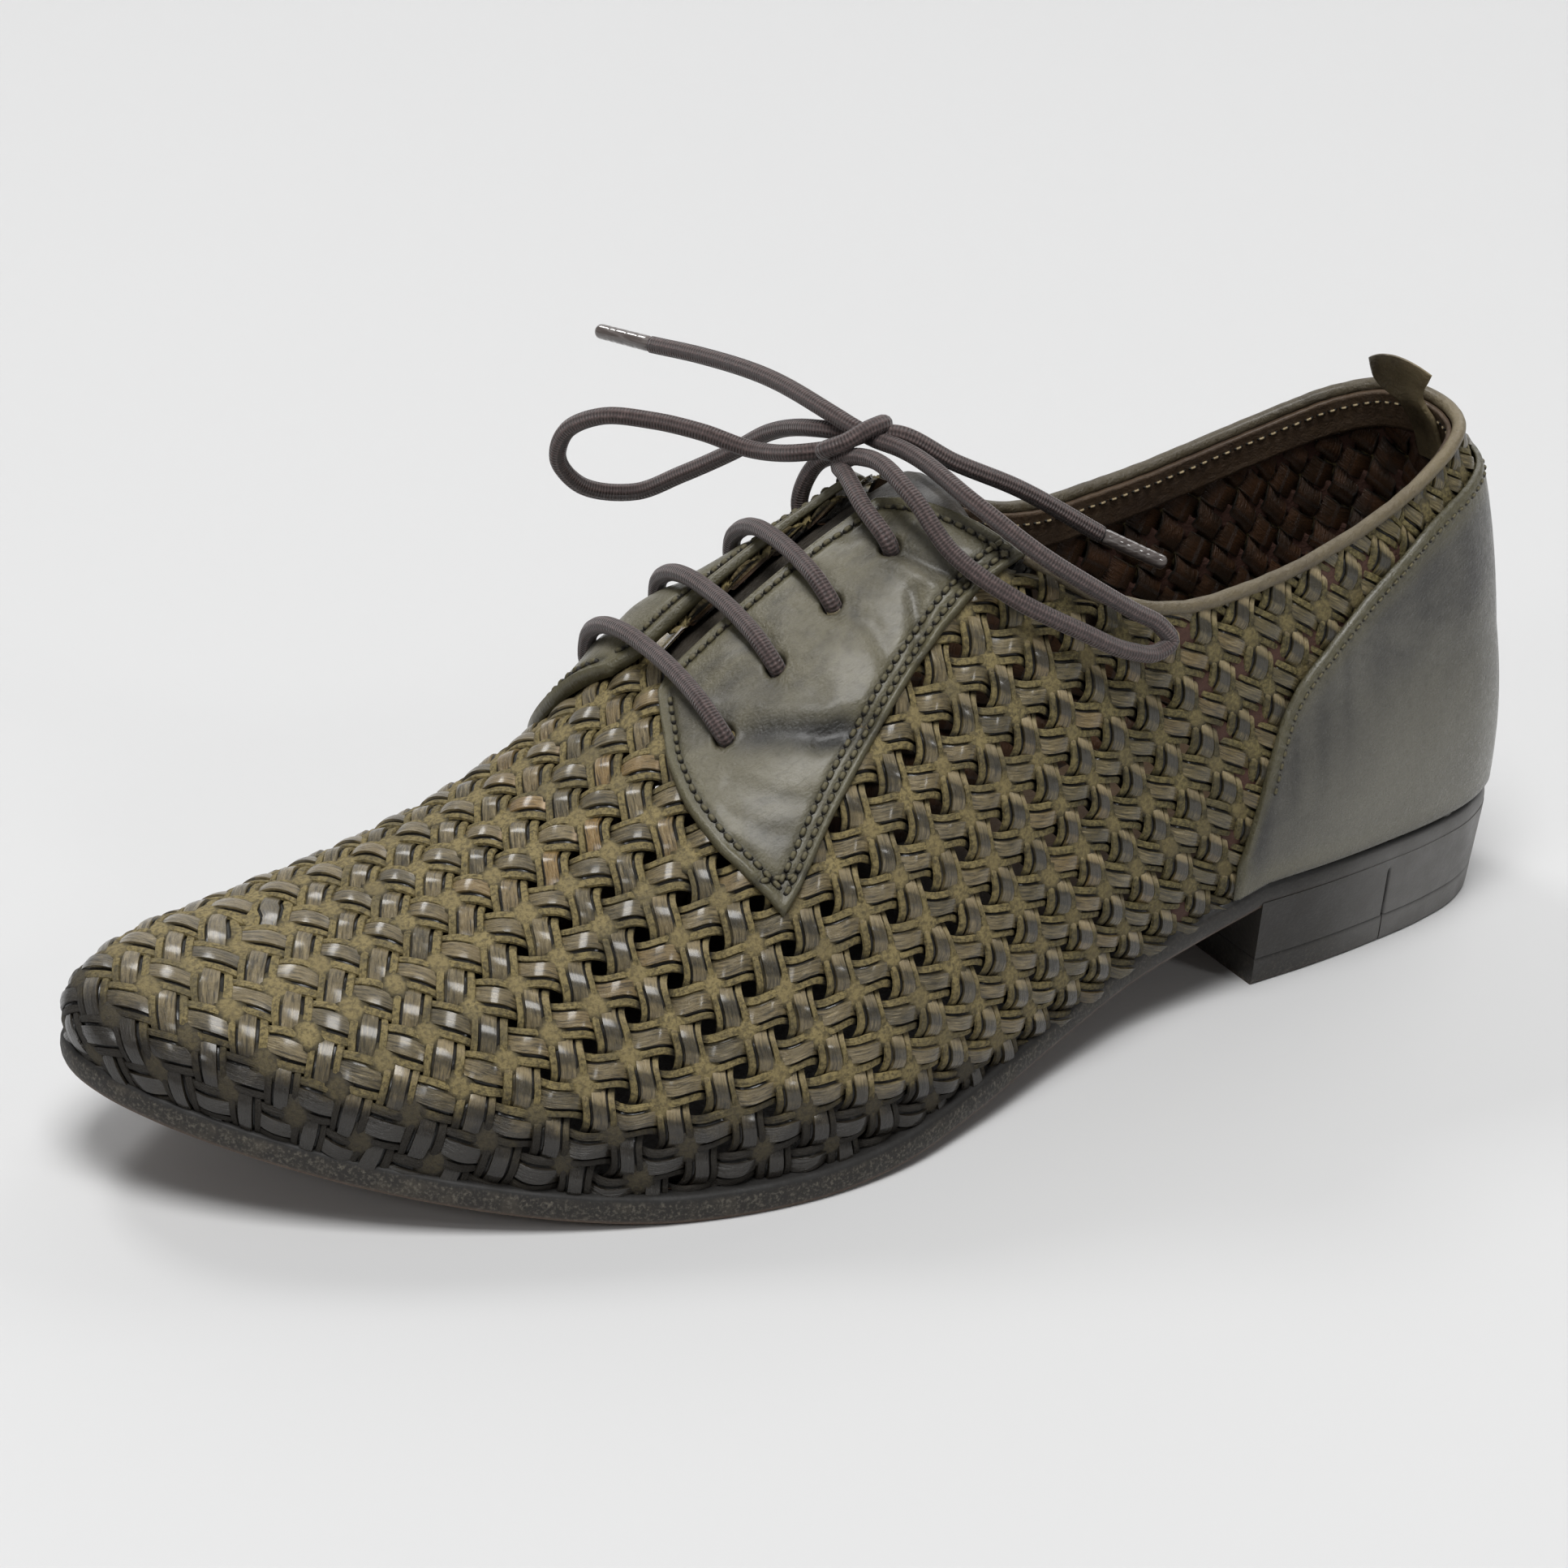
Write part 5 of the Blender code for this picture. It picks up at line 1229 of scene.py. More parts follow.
def panel(name, a, b, seat, thick, finish, relief=0.0, shade=0.0, pale=0.0, bead=0.0, **more):
    """Leather panel on chart grids a and b, with rounded, beaded edges and the given relief."""
    surface = last.point(a, b)
    along = np.concatenate([np.zeros((1,) + a.shape[1:]),
                            np.cumsum(np.linalg.norm(np.diff(surface, axis=0), axis=-1), axis=0)])
    across = np.concatenate([np.zeros((a.shape[0], 1)),
                             np.cumsum(np.linalg.norm(np.diff(surface, axis=1), axis=-1), axis=1)], axis=1)
    rim = np.minimum(np.minimum(along, along[-1:] - along), np.minimum(across, across[:, -1:] - across))
    near = np.clip(1 - rim / EDGE_ROUND, 0, 1)
    crown = np.sqrt(np.clip(1 - near**2, 0, 1))
    ridge = bead * bell(rim - BEAD_INSET, BEAD_WIDTH)
    outer = last.lifted(a, b, seat + thick * (0.25 + 0.75 * crown) + ridge + relief)
    inner = last.lifted(a, b, seat + 0.0 * a + np.minimum(relief, 0.0))
    points, faces = sheet_solid(outer, inner)
    # painted shade: the given shade, and darker over the rounded edge
    given_and_edge_shade = (np.broadcast_to(shade, a.shape) + 0.3 * near).clip(0, 1)
    values = {"shade": given_and_edge_shade, "edge": 1 - ease(2.0, 8.0, rim), "pale": np.broadcast_to(pale, a.shape),
              "along": along, "across": across}
    layers = {key: np.tile(value.ravel(), 2) for key, value in values.items()}
    return make_piece(name, points, faces, finish, layers=layers, **more)


# One stitch from end to end: height and girth against its radius, 1 where it dips into the leather and is
# painted dark as shade
STITCH_DIP = np.array([-1.1, 0.1, 0.5, 0.5, 0.1, -1.1])
STITCH_GIRTH = np.array([1.15, 1.1, 1.0, 1.0, 1.1, 1.15])
STITCH_SHADE = (1.0, 0.85, 0.0, 0.0, 0.85, 1.0)
STITCH_SIDES = 6
ROW_STEP = 0.4         # between the points of a row of stitches


def add_stitches(build, path, lift, length, gap, radius):
    """Row of stitches along a chart path: short rounded threads that dip at both ends."""
    path = resample(np.asarray(path, float), ROW_STEP)
    arc = arc_lengths(last.point(path[:, 0], path[:, 1]))
    pitch = length + gap
    for start in np.arange(pitch / 2, arc[-1] - pitch, pitch):
        at = start + length * np.linspace(0, 1, len(STITCH_DIP))
        a, b = np.interp(at, arc, path[:, 0]), np.interp(at, arc, path[:, 1])
        level = lift(a, b) if callable(lift) else lift + 0.0 * a
        line = last.lifted(a, b, level + radius * STITCH_DIP)
        points, faces, _, _ = tube(line, np.abs(radius) * STITCH_GIRTH, STITCH_SIDES)
        build.add(points, faces, shade=np.repeat(STITCH_SHADE, STITCH_SIDES))


def offset_path(path, distance):
    """Chart path moved sideways, to the left of its run."""
    path = np.asarray(path, float)
    ahead = unit(np.gradient(path, axis=0))
    return path + distance * np.stack([-ahead[:, 1], ahead[:, 0]], -1)


FACING_STEPS = (110, 84)   # grid lines along and across a facing
FACING_ROWS = (        # edge of the facing, distance of a stitch row to the left of the edge's run
    ("throat", 2.3), ("front", 2.3), ("outer", -2.2), ("outer", -4.4), ("top", -2.3),
)
FACING_TIP_ROW = ((184.6, 51.2), (181.4, 52.9), (178.6, 54.8), (175.0, 56.6))
FACING_STITCH_RADIUS, FACING_STITCH_GAP, FACING_STITCH_SINK = 0.46, 0.65, 0.2
ROW_DEPTH, ROW_WIDTH, ROW_SHADE, ROW_SHADE_WIDTH = 0.36, 0.75, 0.6, 0.62   # groove of a stitch row
EYELET_RADIUS, EYELET_DEPTH = 1.75, 2.6
PULL_RADIUS, PULL_DEPTH = 4.5, 0.35    # soft pull round an eyelet
FLARE_HEIGHT, FLARE_MIDDLE, FLARE_REACH, FLARE_GIRTH = 3.2, 174.0, 15.0, 16
FACING_FOLDS = (       # chart points of each line, half width, height (negative for a trough)
    (((175, 29), (169, 34.5), (164, 39), (157, 42.5)), 3.0, -1.05),
    (((165, 39), (162, 40)), 2.2, -0.55),
    (((178, 20), (169.5, 28), (163, 35.5), (156, 39)), 2.4, 0.55),
    (((168, 26), (166, 30), (163, 32)), 2.6, -0.40),
    (((161, 22), (157.5, 28), (152, 35)), 5.0, 0.55),
    (((152, 21), (149, 28), (149, 36)), 2.0, -0.45),
    (((140, 27), (142, 33), (144, 38)), 1.5, -0.60),
    (((137, 28), (139, 34), (141, 38)), 2.0, 0.40),
    (((138.5, 18), (135, 25), (131, 31)), 1.4, -0.75),
    (((140.5, 19.5), (137.5, 26.5), (133.5, 31.5)), 1.5, 0.45),
    (((134, 17), (131, 23), (127, 28)), 1.6, 0.45),
    (((142, 9), (138, 11)), 2.6, -0.60),
    (((186.0, 24), (187.0, 33), (185.5, 41)), 1.4, 0.35),
    (((171, 15), (168, 17)), 3.0, 0.50),
    (((165, 10), (163.5, 15), (165, 20)), 1.3, -0.40),
    (((152, 9), (150.5, 13), (152, 18)), 1.3, -0.35),
    (((181, 34), (176, 42), (170, 48)), 1.6, -0.22),
    (((184, 38), (179.5, 46), (174, 51)), 1.4, -0.18),
)
FACING_SHADE_SPOTS = (      # spots of painted shade, in the troughs and next to the lace: chart length and girth, reach along and across, strength
    (165.5, 35.5, 5.5, 4.5, 0.5), (162.3, 40.3, 3.2, 2.6, 0.55), (172.0, 31.0, 5.0, 3.2, 0.35),
    (141.0, 21.0, 4.0, 5.0, 0.35), (127.0, 28.0, 5.0, 3.0, 0.3),
)


def fold_relief(a, b):
    """Soft troughs and ridges of the facings."""
    total = np.zeros(np.shape(a))
    for path, width, height in FACING_FOLDS:
        total += height * bell(line_distance(a, b, path), width)
    return total


def facing_patch(side):
    """Chart grids of a facing: from the collar to its front edge, and from the throat out."""
    share = 1.0 if side == LATERAL else FACING_MEDIAL_SHARE
    longer = 0.0 if side == LATERAL else FACING_MEDIAL_LONGER
    u = np.linspace(0, 1, FACING_STEPS[0])[:, None]
    v = np.linspace(0, 1, FACING_STEPS[1])[None, :]
    top = FACING_TOP - FACING_TOP_DROP * v**FACING_TOP_POWER
    near, far = FACING_FRONT[0][0], FACING_FRONT[-1][0]
    front = table(FACING_FRONT, 1, near + (far - near) * v) + longer
    a = top + (front - top) * u
    outer = table(FACING_OUTER, 1, top[:, -1] + (front[:, -1] - top[:, -1]) * u) * share
    inner = FACING_THROAT + 2.0 * ease(0.9, 1.0, u)
    return a, inner + (outer - inner) * v


def facing_rows(a, b, side):
    """Stitch rows of a facing, as chart paths: along its edges and across its tip."""
    outline = {"throat": (a[:, 0], b[:, 0]), "front": (a[-1], b[-1]), "outer": (a[:, -1], b[:, -1]),
               "top": (a[0], b[0])}
    rows = [offset_path(np.stack(outline[key], -1), distance)[3:-3] for key, distance in FACING_ROWS]
    share = 1.0 if side == LATERAL else FACING_MEDIAL_SHARE
    return rows + [resample(np.array(FACING_TIP_ROW) * (1.0, share), ROW_STEP)]


def facing_flare(a, b):
    """How far the inner facing stands off at its front, for chart points."""
    stand = FLARE_HEIGHT * bell(a - FLARE_MIDDLE, FLARE_REACH)
    return np.where(np.asarray(b) < 0, stand * ease(0, FLARE_GIRTH, np.abs(b)), 0.0)


def eyelet_pit(a, b):
    """Depth of the punched eyelets, and of the soft pull round each."""
    total = np.zeros(np.shape(a))
    for place, girth in EYELETS:
        gap = np.hypot(a - place, b - girth)
        total += EYELET_DEPTH * np.exp(-(gap / EYELET_RADIUS) ** 6) + PULL_DEPTH * bell(gap, PULL_RADIUS)
    return total


class SHOE_OT_facings(bpy.types.Operator):
    """Smooth leather facings with punched eyelets, creases and stitched edges"""
    bl_idname = "shoe.facings"
    bl_label = "Facings"

    def execute(self, context):
        finish = smooth_finish("facing_leather", tone("smooth"), FACING_DARK, patch=70.0, shine=0.34,
                               wrinkle=0.11, edge=FACING_EDGE)
        thread = thread_finish("facing_thread", tone("thread"))
        seat, thick = size("facing_lift"), size("facing_thick")

        def thread_level(a, b):
            """Height of a stitch off the last."""
            return seat + thick - FACING_STITCH_SINK + fold_relief(a, np.abs(b)) + facing_flare(a, b)

        for name, side in (("facing_lateral", LATERAL), ("facing_medial", MEDIAL)):
            a, b = facing_patch(side)
            rows = facing_rows(a, b, side)
            pit, folds = eyelet_pit(a, b), fold_relief(a, b)
            relief = folds - pit + facing_flare(a, side * b)
            # painted shade in the troughs and the eyelets' pits, then on the spots and the stitch grooves
            painted_shade = 0.55 * np.clip(-folds, 0, 1) + 0.9 * np.clip(pit / 2.0, 0, 1)
            for *place, strength in FACING_SHADE_SPOTS:
                painted_shade = painted_shade + strength * spot(a, b, *place)
            for row in rows:
                gap = line_distance(a, b, row[::4])
                relief = relief - ROW_DEPTH * bell(gap, ROW_WIDTH)
                painted_shade = painted_shade + ROW_SHADE * bell(gap, ROW_SHADE_WIDTH)
            panel(name + "_leather", a, side * b, seat, thick, finish, relief, painted_shade, bead=0.4,
                  slot="smooth_leather", replaces=(name,))
            build = Build("shade")
            for row in rows:
                add_stitches(build, row * (1, side), thread_level, size("stitch_length"), FACING_STITCH_GAP,
                             FACING_STITCH_RADIUS)
            build.piece(name + "_stitches", thread)
        return {"FINISHED"}


def heel_order(front, steps):
    """Chart lengths and sides from the inner front edge round the heel to the outer one."""
    places = np.linspace(last.heel_start + 0.02, front, steps)
    return [(a, MEDIAL) for a in places[::-1]] + [(a, LATERAL) for a in places[1:]]


def counter_top(place, side):
    """Girth of the counter's top edge."""
    top = float(table(COUNTER, 1, place))
    return last.girth_below(place, side, lambda x: top + 0 * x)


COUNTER_STEPS = (90, 60)   # grid lines along one side and down the counter
COUNTER_DENTS = (      # place along from -1 to 1 and down from 0 to 1, reach along and down, height
    (0.55, 0.45, 0.16, 0.3, -0.45), (-0.35, 0.6, 0.2, 0.25, -0.35),
)
COUNTER_SMEARS = (     # place from the heel to the front edge and down, reach along and down, strength
    (0.95, 0.45, 0.022, 0.40, 0.50), (0.87, 0.35, 0.014, 0.30, 0.42), (0.80, 0.40, 0.022, 0.26, 0.42),
    (0.73, 0.28, 0.012, 0.22, 0.36), (0.64, 0.30, 0.03, 0.24, 0.28), (0.50, 0.25, 0.02, 0.2, 0.2),
)
COUNTER_STITCH_RADIUS, COUNTER_STITCH_GAP = 0.28, 0.7
COUNTER_ROW_DOWN, COUNTER_ROW_BACK = 2.2, 1.9      # stitch row from the top edge, and from its steep front
SEAM_HALF_WIDTH, SEAM_LAP, SEAM_SEAT, SEAM_THICK, SEAM_STEPS = 2.4, 3.0, 0.9, 0.7, (8, 24)


def add_counter(finish):
    """The counter's leather with its dents, smears and a painted reflection of the floor low down; gives its
    top edge as chart points.
    """
    order = heel_order(COUNTER[-1][0], COUNTER_STEPS[0])
    share = np.linspace(0, 1, COUNTER_STEPS[1]) ** 1.15
    a, b = [], []
    for place, side in order:
        top = counter_top(place, side)
        foot = last.full_girth(place, side) - 0.2
        b.append(side * (top + (max(foot, top + 0.8) - top) * share))
        a.append(np.full(len(share), place))
    a, b = np.array(a), np.array(b)
    along = np.linspace(-1, 1, len(order))[:, None]
    down = np.linspace(0, 1, len(share))[None, :]
    dents = sum(height * spot(along, down, *place) for *place, height in COUNTER_DENTS)
    # the shade layer here holds the darker bottom edge and the smears
    shade = 0.4 * ease(0.93, 1.0, down) + 0 * along
    for *place, strength in COUNTER_SMEARS:
        shade = shade + strength * spot(np.abs(along), down, *place)
    # painted reflection of the pale floor: paler towards the bottom, less so near the front edges
    pale = 0.75 * ease(0.35, 0.9, down) * (1 - 0.5 * ease(0.6, 0.95, np.abs(along)))
    panel("heel_counter_leather", a, b, size("counter_lift"), size("counter_thick"), finish, dents, shade,
          pale, slot="counter_leather", replaces=("heel_counter",))
    return np.stack([a[:, 0], b[:, 0]], -1)


def add_back_seam(finish):
    """Narrow strip over the back seam, from the collar to under the counter."""
    a, b = [], []
    for place, side in heel_order(last.heel_start + SEAM_HALF_WIDTH, SEAM_STEPS[0]):
        top = last.girth_below(place, side, collar_height)
        b.append(side * np.linspace(top, counter_top(place, side) + SEAM_LAP, SEAM_STEPS[1]))
        a.append(np.full(SEAM_STEPS[1], place))
    panel("back_seam_strip", np.array(a), np.array(b), SEAM_SEAT, SEAM_THICK, finish, slot="counter_leather")


class SHOE_OT_counter(bpy.types.Operator):
    """Smooth heel counter with a stitched upper edge"""
    bl_idname = "shoe.counter"
    bl_label = "Heel counter"

    def execute(self, context):
        finish = smooth_finish("counter_leather", tone("counter"), COUNTER_DARK, patch=34.0, shine=0.27,
                               wrinkle=0.10, edge=COUNTER_EDGE)
        edge = add_counter(finish)
        add_back_seam(finish)
        level = size("counter_lift") + size("counter_thick") - 0.02
        build = Build("shade")
        for half in (edge[:len(edge) // 2 - 1], edge[len(edge) // 2 + 1:]):
            inset = half + np.stack([np.zeros(len(half)), np.sign(half[:, 1]) * COUNTER_ROW_DOWN], -1)
            slope = np.gradient(half[:, 1], half[:, 0])
            inset[:, 0] -= np.clip(np.abs(slope), 0, 3) / 3 * COUNTER_ROW_BACK
            add_stitches(build, inset[2:-4], level, size("stitch_length"), COUNTER_STITCH_GAP,
                         COUNTER_STITCH_RADIUS)
        build.piece("heel_counter_stitches", thread_finish("counter_thread", tone("thread")))
        return {"FINISHED"}


BINDING_FRONT_X = 118.5
BINDING_LIFT = -0.4
BINDING_SIDES = 18
LINING_DEPTH = 8.5     # lining band below the collar, inside
LINING_RISE = 1.3
LINING_FACES = (-2.0, -2.9)    # its two faces, from the last surface
PALE_STITCH_LENGTH, PALE_STITCH_GAP, PALE_STITCH_RADIUS = 1.7, 0.9, 0.24
PALE_ROW_LEVEL, PALE_ROW_DOWN = -3.0, 2.4


def collar_line(rise):
    """Chart points along the wall's top edge, raised square to it, from inner front round to outer front."""
    def height(x):
        slope = collar_height(x + 0.5) - collar_height(x - 0.5)
        return collar_height(x) + rise * np.hypot(1, slope)
    order = heel_order(BINDING_FRONT_X, 70)
    return np.array([(a, side * last.girth_below(a, side, height)) for a, side in order])


class SHOE_OT_collar(bpy.types.Operator):
    """Rolled collar edge, the lining band inside it and its pale stitches"""
    bl_idname = "shoe.collar"
    bl_label = "Collar"

    def execute(self, context):
        leather = smooth_finish("binding_leather", tone("binding"), BINDING_DARK, patch=70.0, shine=0.42,
                                wrinkle=0.25)
        lining = smooth_finish("lining_leather", tone("lining"), LINING_DARK, patch=60.0, shine=0.6,
                               wrinkle=0.25)
        radius = size("binding_radius")
        line = collar_line(radius + 0.1)
        path = last.lifted(line[:, 0], line[:, 1], np.full(len(line), BINDING_LIFT))
        points, faces, _, _ = tube(resample(smooth_path(path, 3), 0.9), radius, BINDING_SIDES)
        make_piece("collar_roll", points, faces, leather, "binding_leather", ("collar_binding",),
                   {"shade": 0.45 * ease(4, -16, points[:, 1]),
                    "pale": 0.4 * ease(-2, 10, points[:, 1]) * (1 - ease(14, 62, points[:, 0]))})
        top = collar_line(LINING_RISE)
        down = np.sign(top[:, 1:])
        depth = np.linspace(0, LINING_DEPTH, 14)
        a = np.repeat(top[:, :1], len(depth), axis=1)
        b = top[:, 1:] + down * depth[None, :]
        points, faces = sheet_solid(*(last.lifted(a, b, np.full(a.shape, lift)) for lift in LINING_FACES))
        make_piece("collar_lining", points, faces, lining, "lining_leather")
        build = Build("shade")
        row = np.concatenate([top[:, :1], top[:, 1:] + down * PALE_ROW_DOWN], 1)
        half = len(row) // 2
        for part in (row[:half - 1], row[half + 2:]):
            add_stitches(build, part, PALE_ROW_LEVEL, PALE_STITCH_LENGTH, PALE_STITCH_GAP,
                         -PALE_STITCH_RADIUS)
        build.piece("collar_stitches", thread_finish("pale_thread", tone("thread_pale")))
        return {"FINISHED"}


class SHOE_OT_inside(bpy.types.Operator):
    """Sock on the insole, and the tongue under the lacing"""
    bl_idname = "shoe.inside"
    bl_label = "Sock and tongue"

    def execute(self, context):
        lining = smooth_finish("sock_leather", tone("lining"), SOCK_DARK, patch=45.0, shine=0.62, wrinkle=0.3)
        levels = [(inset, lambda x, up=up: sole_top(x) + up) for inset, up in SOCK_EDGE]
        points, faces = sole_layer(levels, 110)
        make_piece("sock", points, faces, lining, "lining_leather", ("insole",),
                   {"shade": ease(70, 125, points[:, 0])}, 0.9)
        dark = smooth_finish("tongue_leather", TONGUE_TONE, TONGUE_DARK, patch=60.0, shine=0.5, wrinkle=0.3)
        a = np.linspace(TONGUE[0][0], TONGUE[-1][0], 60)[:, None]
        b = np.linspace(-1, 1, 48)[None, :] * table(TONGUE, 1, a)
        a = np.broadcast_to(a, b.shape).copy()
        ripple = 0.35 * np.sin(a / 7.0) * bell(b, 14)
        panel("tongue_leather", a, b, TONGUE_SEAT, TONGUE_THICK, dark, ripple, slot="lining_leather",
              replaces=("tongue",))
        return {"FINISHED"}


TAB_THICK = 1.3
TAB_COLUMNS = 25
TAB_ROUND_END, TAB_ROUND_SIDE = 6, 12  # how soon the tab is at full thickness from its end and its sides


class SHOE_OT_tab(bpy.types.Operator):
    """Pull tab that stands up behind the collar and flares to its rounded end"""
    bl_idname = "shoe.tab"
    bl_label = "Pull tab"

    def execute(self, context):
        leather = smooth_finish("tab_leather", TAB_TONE, TAB_DARK, patch=110.0, shine=0.40, wrinkle=0.2)
        share = np.linspace(0, 1, TAB_COLUMNS)[:, None]
        rows = [(1 - share) * inner + share * outer + 4 * share * (1 - share) * bow
                for inner, outer, bow in np.array(TAB_ROWS)]
        grid = np.stack([smooth_path(column, 6) for column in np.stack(rows, 1)], 1)
        normal = unit(np.cross(np.gradient(grid, axis=0), np.gradient(grid, axis=1)))
        from_end = np.linspace(1, 0, len(grid))[:, None]
        from_side = np.minimum(share, 1 - share).T
        rim = np.minimum(from_end * TAB_ROUND_END, from_side * TAB_ROUND_SIDE)
        edge = np.sqrt(np.clip(1 - (1 - np.clip(rim, 0, 1)) ** 2, 0.06, 1))[..., None]
        points, faces = sheet_solid(*(grid - normal * TAB_THICK * side * edge for side in (0.5, -0.5)))
        pale = np.broadcast_to(0.55 * ease(0.45, 0.85, share).T, grid.shape[:2]).ravel()
        make_piece("tab", points, faces, leather, "binding_leather", ("pull_tab",),
                   {"pale": np.tile(pale, 2)}, 1.0)
        return {"FINISHED"}


# Lace: routes of the two halves of the bow, from the top eyelets through the knot, and the bars below
LOOP_FRONT = (
    (142.5, -14.9, 107.3), (148.5, -25, 105.3), (154.7, -33, 107.1), (160.9, -41, 107.8), (168, -48, 107.5),
    (172.2, -54, 103.2), (172.4, -57, 96.5), (168, -57, 90.6), (158.2, -53, 88.6), (151.6, -47, 93),
    (145, -39, 99.2), (141.5, -31, 105.3), (137.9, -16.3, 110.4),
)
LOOP_REAR = (
    (137.3, -2.6, 109.5), (136.2, 11.4, 107), (133.1, 20.4, 98.8), (125.6, 29.8, 91.9), (114.4, 34.7, 85.1),
    (104.5, 36.4, 79.6), (98.3, 36.3, 78.0), (95.2, 35.8, 79.4), (96.9, 35.0, 82.3), (102.5, 33.6, 86.2),
    (108.8, 32.4, 90.7), (119.3, 27.8, 98.6),
    (127.2, 18.9, 106.3), (131.2, -1.5, 110.7),
)
END_FRONT = ((137.2, -14.1, 113.6), (141.1, -32, 115.7), (145.9, -49, 115.2), (150.2, -61, 114.2))
END_REAR = ((130.2, -5.1, 112.1), (120.8, 1, 106.8), (109, 4, 100.6), (93.4, 9, 90))
AGLET_FRONT = ((150.3, -61.3, 114.2), (154.8, -74, 113.5))
AGLET_REAR = ((93.2, 9.1, 89.8), (81.6, 13, 83.2))
RISER_LATERAL = ((140.3, -5.3, 106.1), (141.5, 3.5, 103))
RISER_MEDIAL = ((136, -14.7, 105.6), (137.5, -19.5, 102.8))
# The turns inside the knot
KNOT_FIRST = ((139.8, -8.4, 106.6), (138.6, -6.6, 108.4))
KNOT_THROUGH = ((133.5, -6.5, 111.2), (135.8, -10.2, 112.6))
KNOT_WRAP = (
    (136.0, -12.5, 106.6), (139.8, -12.6, 107.6), (142.0, -9.6, 109.6), (139.6, -6.6, 111.6),
    (135.4, -5.8, 113.6), (131.6, -6.6, 113.8), (130.6, -10.0, 111.4), (133.8, -13.4, 108.9),
    (138.6, -13.8, 107.6),
)
KNOT_BACK = ((134.6, -11.6, 110.6), (132.4, -8.2, 111.2))
LACE_STEP, LACE_SIDES, AGLET_SIDES = 0.75, 14, 16
RISER_SUNK, RISER_MOUTH = -1.5, 2.6    # height of a riser in its eyelet and at its mouth, from the last
BAR_SUNK, BAR_OUTER, BAR_INNER = -1.6, 1.4, 1.8    # the same for a crossing, at the outer and inner facing
BAR_BOW = 1.1                          # rise of a crossing over the throat


def eyelet_place(number, side, lift):
    """Point in or over an eyelet, at a height off the facing's own seat."""
    place, girth = EYELETS[number]
    lift = lift + facing_flare(place, side * girth)
    return tuple(last.lifted(np.array(place), np.array(side * girth), lift))


def lace_piece(name, route, finish, replaces):
    """Round braided cord on a smooth curve through a route: the piece and the line that it follows."""
    line = resample(smooth_path(route, 16), LACE_STEP)
    points, faces, along, around = tube(line, size("lace_radius"), LACE_SIDES)
    piece = make_piece(name, points, faces, finish, "lace_cord", replaces, {"along": along, "around": around})
    return piece, line


def aglet(name, ends, node):
    """Clear sleeve pressed on the end of the lace, with crimp marks."""
    line = resample(np.asarray(ends, float), 0.4)
    share = np.linspace(0, 1, len(line))
    radius = size("lace_radius") * (0.93 - 0.05 * share - 0.05 * (np.sin(share * 60) > 0.9))
    radius[0], radius[-1] = radius[0] * 0.85, radius[-1] * 0.75
    points, faces, _, _ = tube(line, radius, AGLET_SIDES)
    return make_piece(name, points, faces, aglet_finish(), "aglet", (node,), sharp=1.0)


class SHOE_OT_laces(bpy.types.Operator):
    """Waxed lace: bars through the eyelets, the knot with its two loops, and the ends with their aglets"""
    bl_idname = "shoe.laces"
    bl_label = "Laces"

    def execute(self, context):
        finish = lace_finish()
        rest = size("facing_lift") + size("facing_thick") + size("lace_radius") * 0.9
        tips = {side: aglet(f"aglet_{side}_sleeve", ends, f"aglet_{side}")
                for side, ends in (("front", AGLET_FRONT), ("rear", AGLET_REAR))}
        top = len(EYELETS) - 1
        sunk = {side: eyelet_place(top, side, RISER_SUNK) for side in (LATERAL, MEDIAL)}
        mouth = {side: eyelet_place(top, side, RISER_MOUTH) for side in (LATERAL, MEDIAL)}
        halves = (
            ("lace_outer_half", (sunk[LATERAL], mouth[LATERAL], *RISER_LATERAL[::-1], *KNOT_FIRST, *LOOP_REAR,
                                 *KNOT_THROUGH, *END_FRONT),
             ("lace_riser_lateral", "lace_loop_rear", "lace_end_front"), tips["front"]),
            ("lace_inner_half", (sunk[MEDIAL], mouth[MEDIAL], *RISER_MEDIAL[::-1], *KNOT_WRAP, *LOOP_FRONT,
                                 *KNOT_BACK, *END_REAR),
             ("lace_riser_medial", "lace_loop_front", "lace_end_rear", "lace_knot"), tips["rear"]),
        )
        for name, route, nodes, tip in halves:
            piece, line = lace_piece(name, route, finish, nodes)
            2 * size("lace_radius") * MM
        for number, (place, girth) in enumerate(EYELETS[:-1]):
            route = [eyelet_place(number, LATERAL, BAR_SUNK), eyelet_place(number, LATERAL, BAR_OUTER)]
            for share in np.linspace(0.1, 0.9, 7):
                across = np.array(girth * (1 - 2 * share))
                over = last.lifted(np.array(place), across, rest + 0.3 + facing_flare(place, across))
                route.append(over + np.array([0.0, 0.0, BAR_BOW * np.sin(np.pi * share)]))
            route += [eyelet_place(number, MEDIAL, BAR_INNER), eyelet_place(number, MEDIAL, BAR_SUNK)]
            lace_piece(f"lace_crossing_{number + 1}", route, finish, (f"lace_bar_{number + 1}",))
        return {"FINISHED"}


